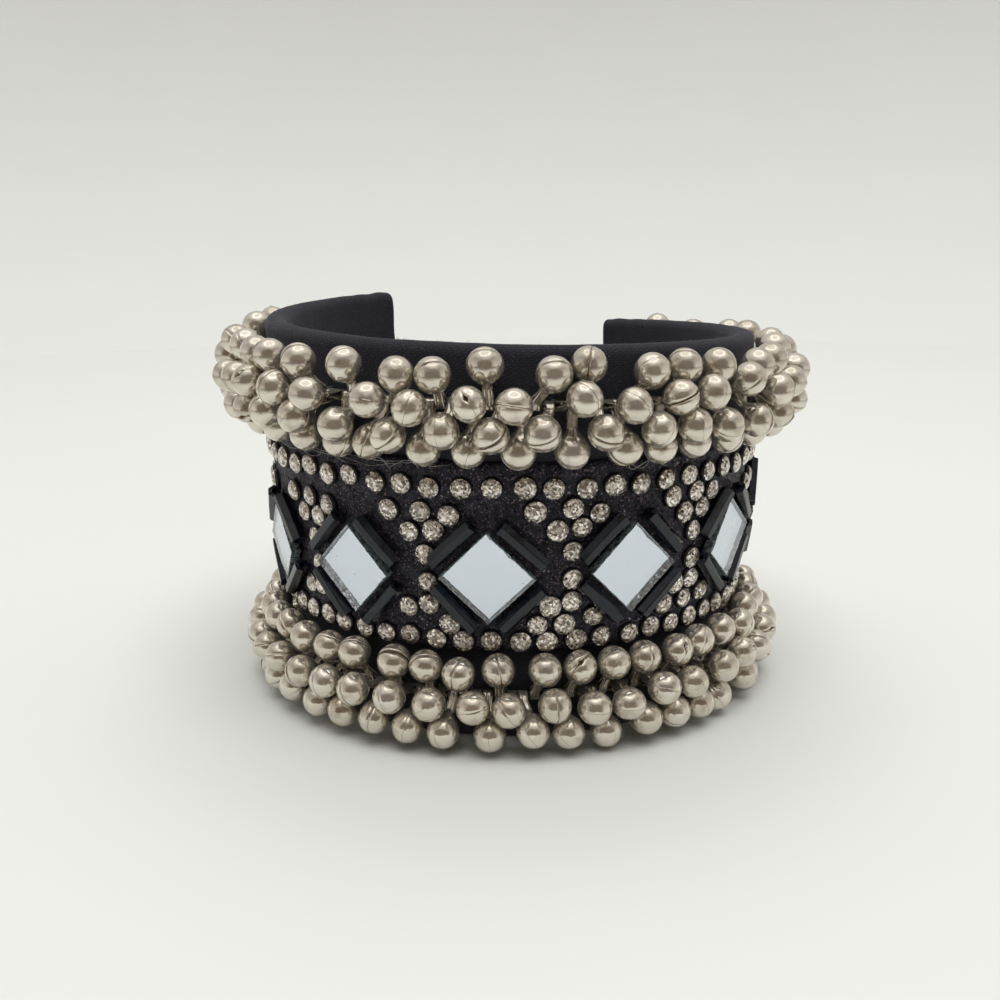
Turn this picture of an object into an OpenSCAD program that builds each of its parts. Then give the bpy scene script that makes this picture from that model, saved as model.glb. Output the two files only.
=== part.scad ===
// Folk cuff bracelet: a padded black cuff, a glittering panel with mirrors, bugle beads and two strings of bells.
// Millimetres, +Z up. It stands on its lower rim; the opening between the arms is at the back, +Y.

/* [Cuff] */
// Width over the outside at the top rim
top_w = 65.6; // [64:0.2:68]
// Depth over the outside at the top rim, were the ring closed
top_d = 66; // [64:0.2:67]
// Width over the outside at the lower rim
base_w = 58.4; // [57:0.2:60]
// Depth over the outside at the lower rim, were the ring closed
base_d = 57.6; // [56:0.2:59]
// Height of the cuff at the middle of the front
band_h = 48.2; // [47:0.1:50]
// Thickness of the padded wall
wall = 2.6; // [2.2:0.1:3]
// Where the left arm ends, in degrees from the middle of the front
left_end = 143.5; // [140:0.5:150]
// Where the right arm ends, in degrees from the middle of the front
right_end = 150; // [145:0.5:155]
// How far the top rim climbs at the tip of the left arm, and drops at the tip of the right one
rim_rise = 2.4; // [0:0.1:3]

/* [Panel] */
// Lower edge of the glitter panel
panel_low = 12; // [11.8:0.1:13]
// Upper edge of the glitter panel
panel_high = 35; // [34:0.1:36]
// Thickness of the glitter panel
panel_t = 0.8; // [0.6:0.1:1]

/* [Mirrors] */
// Number of mirrors
mirror_count = 9; // [3:2:9]
// Length of a mirror's side
mirror_side = 8; // [7:0.1:8.4]
// Thickness of a mirror
mirror_t = 1.2; // [1:0.1:1.6]
// Width of the bevel round a mirror's face
mirror_bevel = 0.35; // [0.2:0.05:0.5]
// Distance from one mirror to the next along the cuff
mirror_pitch = 16.9; // [16.6:0.1:17.2]
// Height of the middle mirror's centre
mirror_z = 21.6; // [21.2:0.1:22.2]
// How much higher each mirror sits than the one on its left
mirror_climb = 0.5; // [0:0.1:0.6]
// How far the middle mirror sits to the right of the middle of the front
mirror_shift = -3; // [-4:0.5:4]

/* [Bugle beads] */
// Length of a bugle bead
bugle_len = 7; // [6:0.1:7.4]
// Width of a bugle bead over its corners
bugle_w = 2; // [1.6:0.1:2.2]
// Bore through a bugle bead
bugle_bore = 0.8; // [0.5:0.1:1]
// Distance from a mirror's centre to the beads round it
bugle_out = 5.5; // [5.4:0.1:5.7]
// How far a bugle bead may be glued askew, in degrees
bugle_skew = 3; // [0:0.5:4]

/* [Bells] */
// Diameter of a bell
bell_d = 4.1; // [3.6:0.05:4.1]
// Distance from the thread to a bell's centre
bell_reach = 5.1; // [4.8:0.1:5.2]
// Diameter of the loop on top of a bell
loop_d = 1.3; // [1.2:0.05:1.4]
// Width of the loop along the thread
loop_w = 1; // [0.8:0.1:1]
// Hole through the loop
loop_bore = 0.8; // [0.75:0.05:0.85]
// Diameter of the threads
thread_d = 0.5; // [0.4:0.05:0.55]
// Distance from the cuff's cover to the middle of a thread
thread_out = 0.8; // [0.8:0.05:0.9]
// Height of the upper thread
upper_z = 41.6; // [41:0.1:42]
// Height of the lower thread
lower_z = 6.2; // [5.8:0.1:6.4]

/* [Hidden] */
// Rows of bells on the upper thread, in the order they are threaded, before they settle clear of each other.
// Columns: how far a bell is fanned upwards, how much that varies, how far it leans to the right, how much
// that varies; all in degrees
UPPER_ROWS = [
    [62, 14, 9, 16],
    [-30, 14, -9, 16],
    [18, 16, 9, 16],
    [-62, 12, -9, 16]
];
// Rows of bells on the lower thread, with the same columns
LOWER_ROWS = [
    [62, 14, 0, 14],
    [8, 14, 0, 14],
    [-26, 12, 0, 14]
];
// Bells on each thread, and the share of even spacing that is left at the front, where they crowd
UPPER_COUNT = 112;
UPPER_CROWD = 0.87;
LOWER_COUNT = 102;
LOWER_CROWD = 0.92;
// Seeds that settle how each thread's bells vary
UPPER_SEED = 11;
LOWER_SEED = 5;
BUGLE_SEED = 3;

gap = 0.1; // between pieces that lie on each other
edge_r = wall / 2; // the folded rims are half round
tip_r = 1; // rounding at the arms' tips
foot_angle = 60; // the lower rim's round stops here, and the rest is pressed flat
panel_stop = 3; // degrees from the panel's end to the arm's tip
string_stop = 3; // degrees from the first and last bell to the arm's tip
bell_gap = 0.12; // between bells once they have settled
bell_foot = 0.4; // between the lowest bells and the surface that the cuff stands on
settle_rounds = 60; // rounds of pushing in which the bells come clear of each other
neighbours = 8; // bells on either side that a bell can touch
tip_angle = 150; // where rim_rise is measured
front_reach = thread_out + bell_reach + bell_d / 2;
lean_back = 1.5; // degrees by which the last bells reach less far round than their seats
// Moves the cuff back, so that the whole stands centred over the origin
shift_y = (half_d(upper_z) + front_reach) * (1 + cos(right_end - string_stop - lean_back)) / 2;

// Half the cuff's outer width at height z
function half_w(z) = (base_w + (top_w - base_w) * z / band_h) / 2;

// Half the cuff's outer depth at height z
function half_d(z) = (base_d + (top_d - base_d) * z / band_h) / 2;

// Outward direction, level with the floor, at angle t from the middle of the front
function outward(t, z) =
    let (v = [half_d(z) * sin(t), -half_w(z) * cos(t), 0])
    v / norm(v);

// How far the cover leans outward at angle t and height z, in degrees
function lean_at(t, z) =
    atan(outward(t, z) * [(top_w - base_w) * sin(t), -(top_d - base_d) * cos(t), 0] / 2 / band_h);

// Height z once the rim's slope is added; it grows towards the top, so that the mirrors stay level
function sloped(t, z) = z - rim_rise * t / tip_angle * pow(z / band_h, 2);

// Point at angle t and height z, a distance out from the cuff's cover
function at(t, z, out) =
    [half_w(z) * sin(t), -half_d(z) * cos(t) + shift_y, sloped(t, z)] + out * outward(t, z);

// Table of length along the cuff against angle, at height z and a distance out
function arc_table(z, out, step = 2) = [
    for (
        t = -160, s = 0;
        t <= 160;
        s = s + norm([
            (half_w(z) + out) * cos(t + step / 2),
            (half_d(z) + out) * sin(t + step / 2)
        ]) * step * PI / 180,
        t = t + step
    ) [t, s]
];

// Length from the middle of the front to angle t
function length_at(table, t) = lookup(t, table) - lookup(0, table);

// Angle that lies a length s from the middle of the front
function angle_at(table, s) = lookup(s + lookup(0, table), [for (row = table) [row[1], row[0]]]);

// Place of bell i of n, from -1 at the left to 1 at the right, crowded towards the front
function crowded(i, n, crowd) =
    let (u = 2 * i / (n - 1) - 1)
    crowd * u + (1 - crowd) * pow(u, 3);

// Angles of all the bells on a thread at height z
function bell_angles(z, n, crowd) =
    let (
        table = arc_table(z, thread_out),
        low = length_at(table, -left_end + string_stop),
        high = length_at(table, right_end - string_stop)
    )
    [for (i = [0 : n - 1]) angle_at(table, (low + high) / 2 + (high - low) / 2 * crowded(i, n, crowd))];

// Seats of a thread's bells: where each loop is, then which way is outward, rightward and up
function bell_seats(z, n, crowd) = [
    for (t = bell_angles(z, n, crowd))
        let (
            level = outward(t, z),
            out = cos(lean_at(t, z)) * level - [0, 0, sin(lean_at(t, z))],
            right = [-level[1], level[0], 0]
        )
        [at(t, z, thread_out), out, right, cross(out, right)]
];

// Direction from a seat's loop to its bell
function bell_aim(seat, fan, lean) =
    cos(lean) * (cos(fan) * seat[1] + sin(fan) * seat[3]) + sin(lean) * seat[2];

// The same direction kept far enough outward for the bell to clear the cover, and the panel where it hangs
// over that
function kept_out(seat, aim) =
    let (
        z = seat[0][2] + bell_reach * aim[2],
        over_panel = abs(2 * z - panel_low - panel_high) < panel_high - panel_low + bell_d,
        least = (bell_d / 2 + bell_gap + (over_panel ? panel_t + gap : 0) - thread_out) / bell_reach,
        out = aim * seat[1],
        rest = aim - out * seat[1]
    )
    out >= least ? aim : least * seat[1] + sqrt(1 - pow(least, 2)) * rest / norm(rest);

// Direction of bell i after its neighbours, and the surface below, have pushed it by half of what they overlap
function pushed(seats, aims, i) =
    let (
        centre = seats[i][0] + bell_reach * aims[i],
        pushes = [
            for (j = [max(0, i - neighbours) : min(len(seats) - 1, i + neighbours)])
                let (
                    apart = centre - seats[j][0] - bell_reach * aims[j],
                    short = bell_d + bell_gap - norm(apart)
                )
                if (j != i && short > 0) short / 2 * apart / norm(apart)
        ],
        sunk = max(0, bell_foot + bell_d / 2 - centre[2]),
        moved = bell_reach * aims[i] + summed(pushes) + [0, 0, sunk]
    )
    kept_out(seats[i], moved / norm(moved));

// Sum of a list of vectors
function summed(list) = [for (axis = [0 : 2]) summed_axis(list, axis, 0, 0)];
function summed_axis(list, axis, i, total) =
    i == len(list) ? total : summed_axis(list, axis, i + 1, total + list[i][axis]);

// Directions of all the bells on a thread once they have settled
function settled(seats, aims, rounds) =
    rounds == 0 ? aims : settled(seats, [for (i = [0 : len(seats) - 1]) pushed(seats, aims, i)], rounds - 1);

// Directions that a thread's bells start from; rows is a table of fans and leans that they take in turn
function first_aims(seats, rows, seed) =
    let (vary = rands(-1, 1, 2 * len(seats), seed))
    [
        for (i = [0 : len(seats) - 1])
            let (row = rows[i % len(rows)])
            kept_out(seats[i], bell_aim(
                seats[i],
                row[0] + row[1] * vary[2 * i],
                row[2] + row[3] * vary[2 * i + 1]
            ))
    ];

// Faces that join rings of n points each into a tube with flat ends
function tube_faces(rings, n) = concat(
    [for (r = [0 : rings - 2], i = [0 : n - 1]) each
        let (a = r * n + i, b = r * n + (i + 1) % n)
        [[a, b, b + n], [a, b + n, a + n]]],
    [[for (i = [n - 1 : -1 : 0]) i]],
    [[for (i = [0 : n - 1]) (rings - 1) * n + i]]
);

// Solid through a list of rings that run from left to right
module tube(rings) {
    n = len(rings[0]);
    polyhedron(points = [for (ring = rings) each ring], faces = tube_faces(len(rings), n), convexity = 6);
}

// Children drawn at angle t and height z: X points away from the cuff, Y to the right along it
module place(t, z, out) {
    n = outward(t, z);
    translate(at(t, z, out))
        rotate([0, lean_at(t, z), atan2(n[1], n[0])])
            children();
}

// Section of the padded wall as pairs of distance out and height, drawn in by inset at the tips
function band_section(inset) =
    let (r = edge_r - inset, top = band_h - edge_r, low = edge_r * sin(foot_angle), rows = 3)
    concat(
        [for (a = [0 : 22.5 : 180]) [r * cos(a) - edge_r, top + r * sin(a)]],
        [for (i = [rows : -1 : 1]) [-r - edge_r, low + (top - low) * i / (rows + 1)]],
        [for (a = [0 : 20 : foot_angle]) [-r * cos(a) - edge_r, low - r * sin(a)]],
        [for (a = [foot_angle : -20 : 0]) [r * cos(a) - edge_r, low - r * sin(a)]],
        [for (i = [1 : rows]) [r - edge_r, low + (top - low) * i / (rows + 1)]]
    );

// Angles of the wall's sections with how far each is drawn in: the tips are rounded off
function band_steps() =
    let (
        turn = tip_r / half_w(band_h / 2) * 180 / PI,
        round_off = [for (a = [90 : -30 : 30]) [turn * (1 - sin(a)), tip_r * (1 - cos(a))]],
        count = 60,
        low = -left_end + turn,
        high = right_end - turn
    )
    concat(
        [for (row = round_off) [-left_end + row[0], row[1]]],
        [for (i = [0 : count]) [low + (high - low) * i / count, 0]],
        [for (i = [len(round_off) - 1 : -1 : 0]) [right_end - round_off[i][0], round_off[i][1]]]
    );

module cuff_band() {
    color("#1d1c1f")
        tube([for (step = band_steps()) [for (p = band_section(step[1])) at(step[0], p[1], p[0])]]);
}

// Section of the glitter panel, a thin strip that lies on the cover
function panel_section() =
    let (rows = 3, h = panel_high - panel_low)
    concat(
        [for (i = [0 : rows]) [gap, panel_high - h * i / rows]],
        [for (i = [0 : rows]) [gap + panel_t, panel_low + h * i / rows]]
    );

module glitter_panel() {
    count = 60;
    low = -left_end + panel_stop;
    high = right_end - panel_stop;
    color("#2a2524")
        tube([
            for (i = [0 : count])
                [for (p = panel_section()) at(low + (high - low) * i / count, p[1], p[0])]
        ]);
}

// Round thread with eight sides, sewn along the cuff at height z
module thread(z) {
    count = 78;
    overrun = 1;
    low = -left_end + string_stop - overrun;
    high = right_end - string_stop + overrun;
    tube([
        for (i = [0 : count])
            [for (a = [0 : 45 : 315])
                at(low + (high - low) * i / count, z, thread_out)
                + thread_d / 2 * (cos(a) * outward(low + (high - low) * i / count, z) + [0, 0, sin(a)])]
    ]);
}

module upper_thread() {
    color("#2b2a2c") thread(upper_z);
}

module lower_thread() {
    color("#2b2a2c") thread(lower_z);
}

// One bell with its neck and the loop that the thread runs through; fan lifts it, lean tips it to the right
module bell(fan, lean) {
    neck_start = (loop_d + loop_bore) / 4;
    neck_end = bell_reach - bell_d * 0.42;
    difference() {
        union() {
            rotate([90, 0, 0]) cylinder(d = loop_d, h = loop_w, center = true, $fn = 32);
            rotate([0, -fan, 0])
                rotate([0, 0, lean]) {
                    translate([bell_reach, 0, 0]) sphere(d = bell_d, $fn = 48);
                    translate([neck_start, 0, 0])
                        rotate([0, 90, 0])
                            cylinder(d1 = loop_w * 0.7, d2 = bell_d * 0.42, h = neck_end - neck_start, $fn = 32);
                }
        }
        rotate([90, 0, 0]) cylinder(d = loop_bore, h = loop_w * 2, center = true, $fn = 32);
    }
}

// A whole string of bells, each on its seat
module bell_string(z, rows, n, crowd, seed) {
    seats = bell_seats(z, n, crowd);
    aims = settled(seats, first_aims(seats, rows, seed), settle_rounds);
    for (i = [0 : n - 1]) {
        seat = seats[i];
        translate(seat[0])
            rotate([0, -asin(seat[1][2]), atan2(-seat[2][0], seat[2][1])])
                bell(atan2(aims[i] * seat[3], aims[i] * seat[1]), asin(aims[i] * seat[2]));
    }
}

module upper_bells() {
    color("#c9bfb2") bell_string(upper_z, UPPER_ROWS, UPPER_COUNT, UPPER_CROWD, UPPER_SEED);
}

module lower_bells() {
    color("#c9bfb2") bell_string(lower_z, LOWER_ROWS, LOWER_COUNT, LOWER_CROWD, LOWER_SEED);
}

// Height of the centre of mirror i
function mirror_height(i) = mirror_z + mirror_climb * (i - (mirror_count + 1) / 2);

// Angle at which mirror i sits, with what is a distance along to its right
function mirror_angle(i, along = 0) =
    let (table = arc_table(mirror_z, panel_t), from_middle = i - (mirror_count + 1) / 2)
    angle_at(table, mirror_shift + from_middle * mirror_pitch + along);

// Outline of a mirror's plate across its thickness, bevelled at the face
module plate_section() {
    h = mirror_side / 2;
    polygon([
        [0, -h],
        [mirror_t - mirror_bevel, -h],
        [mirror_t, -h + mirror_bevel],
        [mirror_t, h - mirror_bevel],
        [mirror_t - mirror_bevel, h],
        [0, h]
    ]);
}

// Square mirror with bevelled edges, set on its corner
module mirror_plate(i) {
    color("#c9d3d8")
        place(mirror_angle(i), mirror_height(i), panel_t + 2 * gap)
            rotate([45, 0, 0])
                intersection() {
                    linear_extrude(mirror_side, center = true) plate_section();
                    rotate([90, 0, 0]) linear_extrude(mirror_side, center = true) plate_section();
                }
}

// Six-sided glass bead with a hole along it, lying on one of its sides
module bugle() {
    difference() {
        rotate([0, 0, 30]) cylinder(d = bugle_w, h = bugle_len, center = true, $fn = 6);
        cylinder(d = bugle_bore, h = bugle_len + 1, center = true, $fn = 24);
    }
}

// Four bugle beads, one along each side of mirror i
module bugle_frame(i) {
    flat_r = bugle_w / 2 * cos(30);
    corner = bugle_out * cos(45);
    skews = rands(-bugle_skew, bugle_skew, 4, BUGLE_SEED + i);
    color("#121214")
        for (side = [0, 1], up = [0, 1])
            place(
                mirror_angle(i, (2 * side - 1) * corner),
                mirror_height(i) + (2 * up - 1) * corner,
                panel_t + 2 * gap + flat_r
            )
                rotate([(side == up ? 45 : -45) + skews[2 * side + up], 0, 0])
                    bugle();
}

cuff_band();
glitter_panel();
upper_thread();
lower_thread();
upper_bells();
lower_bells();
for (i = [1 : mirror_count]) {
    mirror_plate(i);
    bugle_frame(i);
}
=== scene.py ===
"""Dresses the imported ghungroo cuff: its cover, its panel with mirrors, beads and stones, and its bells.

Lengths are in millimetres and angles round the cuff in degrees from the middle of its front, unless a name
says otherwise. They turn to metres and radians where a mesh is made.
"""

import logging
import math
from dataclasses import dataclass
from enum import Enum
from typing import Sequence

import bpy
import numpy as np
from bpy.types import Material, Node, NodeSocket, NodeTree, Object
from mathutils import Matrix, Vector, noise

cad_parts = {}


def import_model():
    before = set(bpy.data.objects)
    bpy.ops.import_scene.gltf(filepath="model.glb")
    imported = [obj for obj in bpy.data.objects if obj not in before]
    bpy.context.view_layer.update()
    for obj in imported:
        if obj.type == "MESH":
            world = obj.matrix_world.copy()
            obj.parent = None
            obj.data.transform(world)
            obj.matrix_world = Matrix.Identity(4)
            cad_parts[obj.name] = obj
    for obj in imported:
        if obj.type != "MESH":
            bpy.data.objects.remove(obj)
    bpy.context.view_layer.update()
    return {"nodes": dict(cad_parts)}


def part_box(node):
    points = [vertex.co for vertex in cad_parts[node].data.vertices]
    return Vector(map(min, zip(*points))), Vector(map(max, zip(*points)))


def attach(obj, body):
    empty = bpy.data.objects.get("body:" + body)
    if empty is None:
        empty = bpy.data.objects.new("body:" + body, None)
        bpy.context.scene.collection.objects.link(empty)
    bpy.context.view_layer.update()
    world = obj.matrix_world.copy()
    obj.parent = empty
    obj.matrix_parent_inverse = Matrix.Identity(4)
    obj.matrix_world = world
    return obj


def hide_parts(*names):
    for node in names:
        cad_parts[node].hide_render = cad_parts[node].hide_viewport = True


METRES = 0.001  # metres in a millimetre
WAVE_PERIOD = math.pi / 10  # width of one band of Blender's wave texture at scale 1
BODY = "root"  # the one body that every piece rides on
SMOOTH = {"interpolation_type": "SMOOTHSTEP"}  # for a map range that eases in and out
COLOUR = {"data_type": "RGBA", "output": 2}  # for a mix of colours, whose inputs are 6 and 7
ASLANT = (0.31, 0.22, 0.92)  # a direction that no tube follows for long; their rings are turned by it
SPIKE = np.array([[1, 0, 2], [0, 1, 3], [1, 2, 3], [2, 0, 3]])  # a spike's foot and its three sides

# A surface's bumps: each one's height, between 0 and 1, and what 1 stands for in millimetres
Relief = list[tuple[NodeSocket, float]]
Array = np.ndarray
Values = np.ndarray | float  # one value, or one for each of several places
Pair = tuple[float, float]
Faces = list[list[int]]  # point numbers of each face

log = logging.getLogger("ghungroo_cuff")


def linear(code: str) -> tuple[float, float, float, float]:
    """Turns an sRGB hex colour, such as "#d0c4ad", into Blender's linear one, with an alpha of 1."""
    channels = [int(code[i : i + 2], 16) / 255 for i in (1, 3, 5)]
    return (*(c / 12.92 if c <= 0.04045 else ((c + 0.055) / 1.055) ** 2.4 for c in channels), 1.0)


def per_metre(size: float) -> float:
    """How many patches of a size in millimetres lie in a metre, which is a texture's scale."""
    return 1 / (size * METRES)


def feed(tree: NodeTree, node: Node, inputs: dict[int | str, object]) -> None:
    """Sets what comes into a node.

    Args:
        tree: the node tree that it is in.
        node: the node.
        inputs: for an input's name or number, a constant or the output that is linked to it.
    """
    for name, value in inputs.items():
        if isinstance(value, NodeSocket):
            tree.links.new(value, node.inputs[name])
        else:
            node.inputs[name].default_value = value


def add_node(
    tree: NodeTree, kind: str, inputs: dict[int | str, object], output: int | str = 0, **settings: object
) -> NodeSocket:
    """Adds a shader node with its settings and links.

    Args:
        tree: the node tree that it goes into.
        kind: Blender's name for the type of node, which follows "ShaderNode".
        inputs: for an input's name or number, a constant or the output that is linked to it.
        output: name or number of the output that is wanted.
        settings: the node's own properties.

    Returns:
        That output.
    """
    made = tree.nodes.new(f"ShaderNode{kind}")
    for name, value in settings.items():
        setattr(made, name, value)
    feed(tree, made, inputs)
    return made.outputs[output]


def eased(low: float, high: float, value: Values) -> Values:
    """Runs smoothly from 0 to 1 as a value goes from low to high."""
    share = np.clip((value - low) / (high - low), 0, 1)
    return share * share * (3 - 2 * share)


def unit(vectors: Array) -> Array:
    """Scales vectors, which lie along the last axis, to length 1."""
    return vectors / np.linalg.norm(vectors, axis=-1, keepdims=True)


def wander(points: Array, height: float, size: float, seed: float) -> Array:
    """Smooth noise at each point, up to a height up or down, with bumps of a size; a seed shifts it."""
    offset = Vector((seed * 17.3, seed * 5.1, seed * 9.7))
    return height * np.array([noise.noise(Vector(row) / size + offset) for row in points.tolist()])


def bump_round(angle: Array, at: float, wide: float) -> Array:
    """A bump of height 1 on a circle, at an angle and as wide as given, in radians."""
    return np.exp(-((((angle - at + np.pi) % (2 * np.pi) - np.pi) / wide) ** 2))


def grid_faces(rows: int, columns: int) -> Array:
    """Four-sided faces of a grid whose points run along its rows and whose last column joins its first.

    Args:
        rows: number of rows of points.
        columns: points in each row.

    Returns:
        One row of four point numbers for each face.
    """
    row, column = np.indices((rows - 1, columns)).reshape(2, -1)
    after = (column + 1) % columns
    low, high = row * columns, (row + 1) * columns
    return np.stack([low + column, low + after, high + after, high + column], 1)


def ring_faces(rows: int, columns: int) -> Faces:
    """Faces of a grid closed both ways, its last row joined to its first one too."""
    return (grid_faces(rows + 1, columns) % (rows * columns)).tolist()


def level_ring(count: int, radius: float, z: float, turn: float = 0.0) -> Array:
    """Points of a level ring, the first one turned on by a share of the step between two."""
    a = (np.arange(count) + turn) * 2 * np.pi / count
    return np.stack([radius * np.cos(a), radius * np.sin(a), np.full(count, z)], 1)


def tube_points(path: Array, radius: Values, sides: int) -> Array:
    """Rings of points round a path, square to it.

    Args:
        path: the middle of the tube, one row for each ring.
        radius: one radius, or one for each ring.
        sides: points in each ring.

    Returns:
        The rings' points, one ring after the other.
    """
    along = unit(np.gradient(path, axis=0))
    side = unit(np.cross(along, ASLANT))
    over = np.cross(side, along)
    turn = np.linspace(0, 2 * np.pi, sides, endpoint=False)
    reach = np.broadcast_to(radius, len(path))[:, None, None]
    ring = np.cos(turn)[None, :, None] * side[:, None] + np.sin(turn)[None, :, None] * over[:, None]
    return (path[:, None] + reach * ring).reshape(-1, 3)


def tube_faces(rings: int, sides: int) -> Faces:
    """Faces of a tube with flat ends, as point numbers of its rings."""
    ends = [list(range(sides - 1, -1, -1)), list(range((rings - 1) * sides, rings * sides))]
    return grid_faces(rings, sides).tolist() + ends


def spikes(foot: Array, radius: Values, side: Array, over: Array, tip: Array) -> tuple[Array, Array]:
    """Many closed spikes, each on a foot with three corners.

    Args:
        foot: the middle of each one's foot.
        radius: distance from there to the corners, one for all or one row for each.
        side: the direction to each one's first corner.
        over: the direction square to it in the foot's plane.
        tip: the tip of each one, on the side that the cross of side and over points to.

    Returns:
        Points, four for each spike, and faces. In reverse order, the faces suit tips on the other side.
    """
    turns = (0, 2 * math.pi / 3, 4 * math.pi / 3)
    corners = [foot + radius * (math.cos(a) * side + math.sin(a) * over) for a in turns]
    first = np.arange(len(tip))[:, None, None] * 4
    return np.stack([*corners, tip], 1).reshape(-1, 3), (first + SPIKE).reshape(-1, 3)


class Slot(Enum):
    """The record's material slots."""

    COVER = "cover"
    PANEL = "panel"
    THREAD = "thread"
    BELL = "bell"
    MIRROR = "mirror"
    BUGLE = "bugle"


class MeshPlan:
    """Gathers the parts of one piece and then makes its mesh."""

    def __init__(self) -> None:
        """Starts with nothing in it."""
        self.points: list[Array] = []
        self.faces: Faces = []
        self.finishes: list[int] = []
        self.flat: list[bool] = []
        self.marks: dict[str, list[Array]] = {}
        self.count = 0

    def add(
        self,
        points: Array,
        faces: Sequence[Sequence[int]] | Array,
        finishes: int | Sequence[int] = 0,
        flat: bool = False,
        **marks: Array,
    ) -> None:
        """Adds a part.

        Args:
            points: its points in millimetres.
            faces: point numbers of each of its faces.
            finishes: which of the piece's finishes the faces have, one for all or one for each.
            flat: whether its faces stay facets and aren't shaded smooth.
            marks: named values for each point, which the finishes read.
        """
        faces = faces.tolist() if isinstance(faces, Array) else faces
        self.faces += [[i + self.count for i in face] for face in faces]
        self.finishes += [finishes] * len(faces) if isinstance(finishes, int) else list(finishes)
        self.flat += [flat] * len(faces)
        self.points.append(points)
        for name, values in marks.items():
            self.marks.setdefault(name, []).append(values)
        self.count += len(points)

    def add_tube(self, path: Array, radius: Values, sides: int = 6) -> None:
        """Adds a tube with flat ends round a path, of one radius or of one for each of the path's points."""
        self.add(tube_points(path, radius, sides), tube_faces(len(path), sides))

    def make(
        self, name: str, finishes: Sequence["Finish"], slot: Slot | None, replaced: Sequence[str] = ()
    ) -> Object:
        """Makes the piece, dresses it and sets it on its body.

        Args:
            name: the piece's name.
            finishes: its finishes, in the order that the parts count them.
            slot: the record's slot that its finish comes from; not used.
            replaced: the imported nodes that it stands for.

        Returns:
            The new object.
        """
        mesh = bpy.data.meshes.new(name)
        mesh.from_pydata((np.concatenate(self.points) * METRES).tolist(), [], self.faces)
        for finish in finishes:
            mesh.materials.append(finish.material())
        mesh.polygons.foreach_set("material_index", self.finishes)
        mesh.polygons.foreach_set("use_smooth", [not flat for flat in self.flat])
        for mark, parts in self.marks.items():
            values = np.concatenate(parts).astype(np.float32)
            kind = "FLOAT_VECTOR" if values.ndim == 2 else "FLOAT"
            layer = mesh.attributes.new(mark, kind, "POINT")
            layer.data.foreach_set("vector" if values.ndim == 2 else "value", values.ravel())
        mesh.validate()
        made = bpy.data.objects.new(name, mesh)
        bpy.context.scene.collection.objects.link(made)
        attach(made, BODY)
        if replaced:
            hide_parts(*replaced)
        triangles = sum(len(face) - 2 for face in self.faces)
        log.info("%s: %d triangles", name, triangles)
        return made


@dataclass(frozen=True)
class Finish:
    """A surface finish, which becomes one Blender material."""

    label: str

    def material(self) -> Material:
        """Makes the finish's material the first time that it is asked for.

        Returns:
            The material.
        """
        known = bpy.data.materials.get(self.label)
        if known is not None:
            return known
        made = bpy.data.materials.new(self.label)
        made.use_nodes = True
        tree = made.node_tree
        surface = tree.nodes["Principled BSDF"]
        normal: dict[str, NodeSocket] = {}
        for height, real in self.paint(tree, surface):
            bump = {"Height": height, "Distance": real * METRES, "Strength": 1.0, **normal}
            normal = {"Normal": add_node(tree, "Bump", bump)}
        feed(tree, surface, normal)
        return made

    def paint(self, tree: NodeTree, surface: Node) -> Relief:
        """Sets up the Principled BSDF of the material's node tree and gives its bumps."""
        raise NotImplementedError


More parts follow.
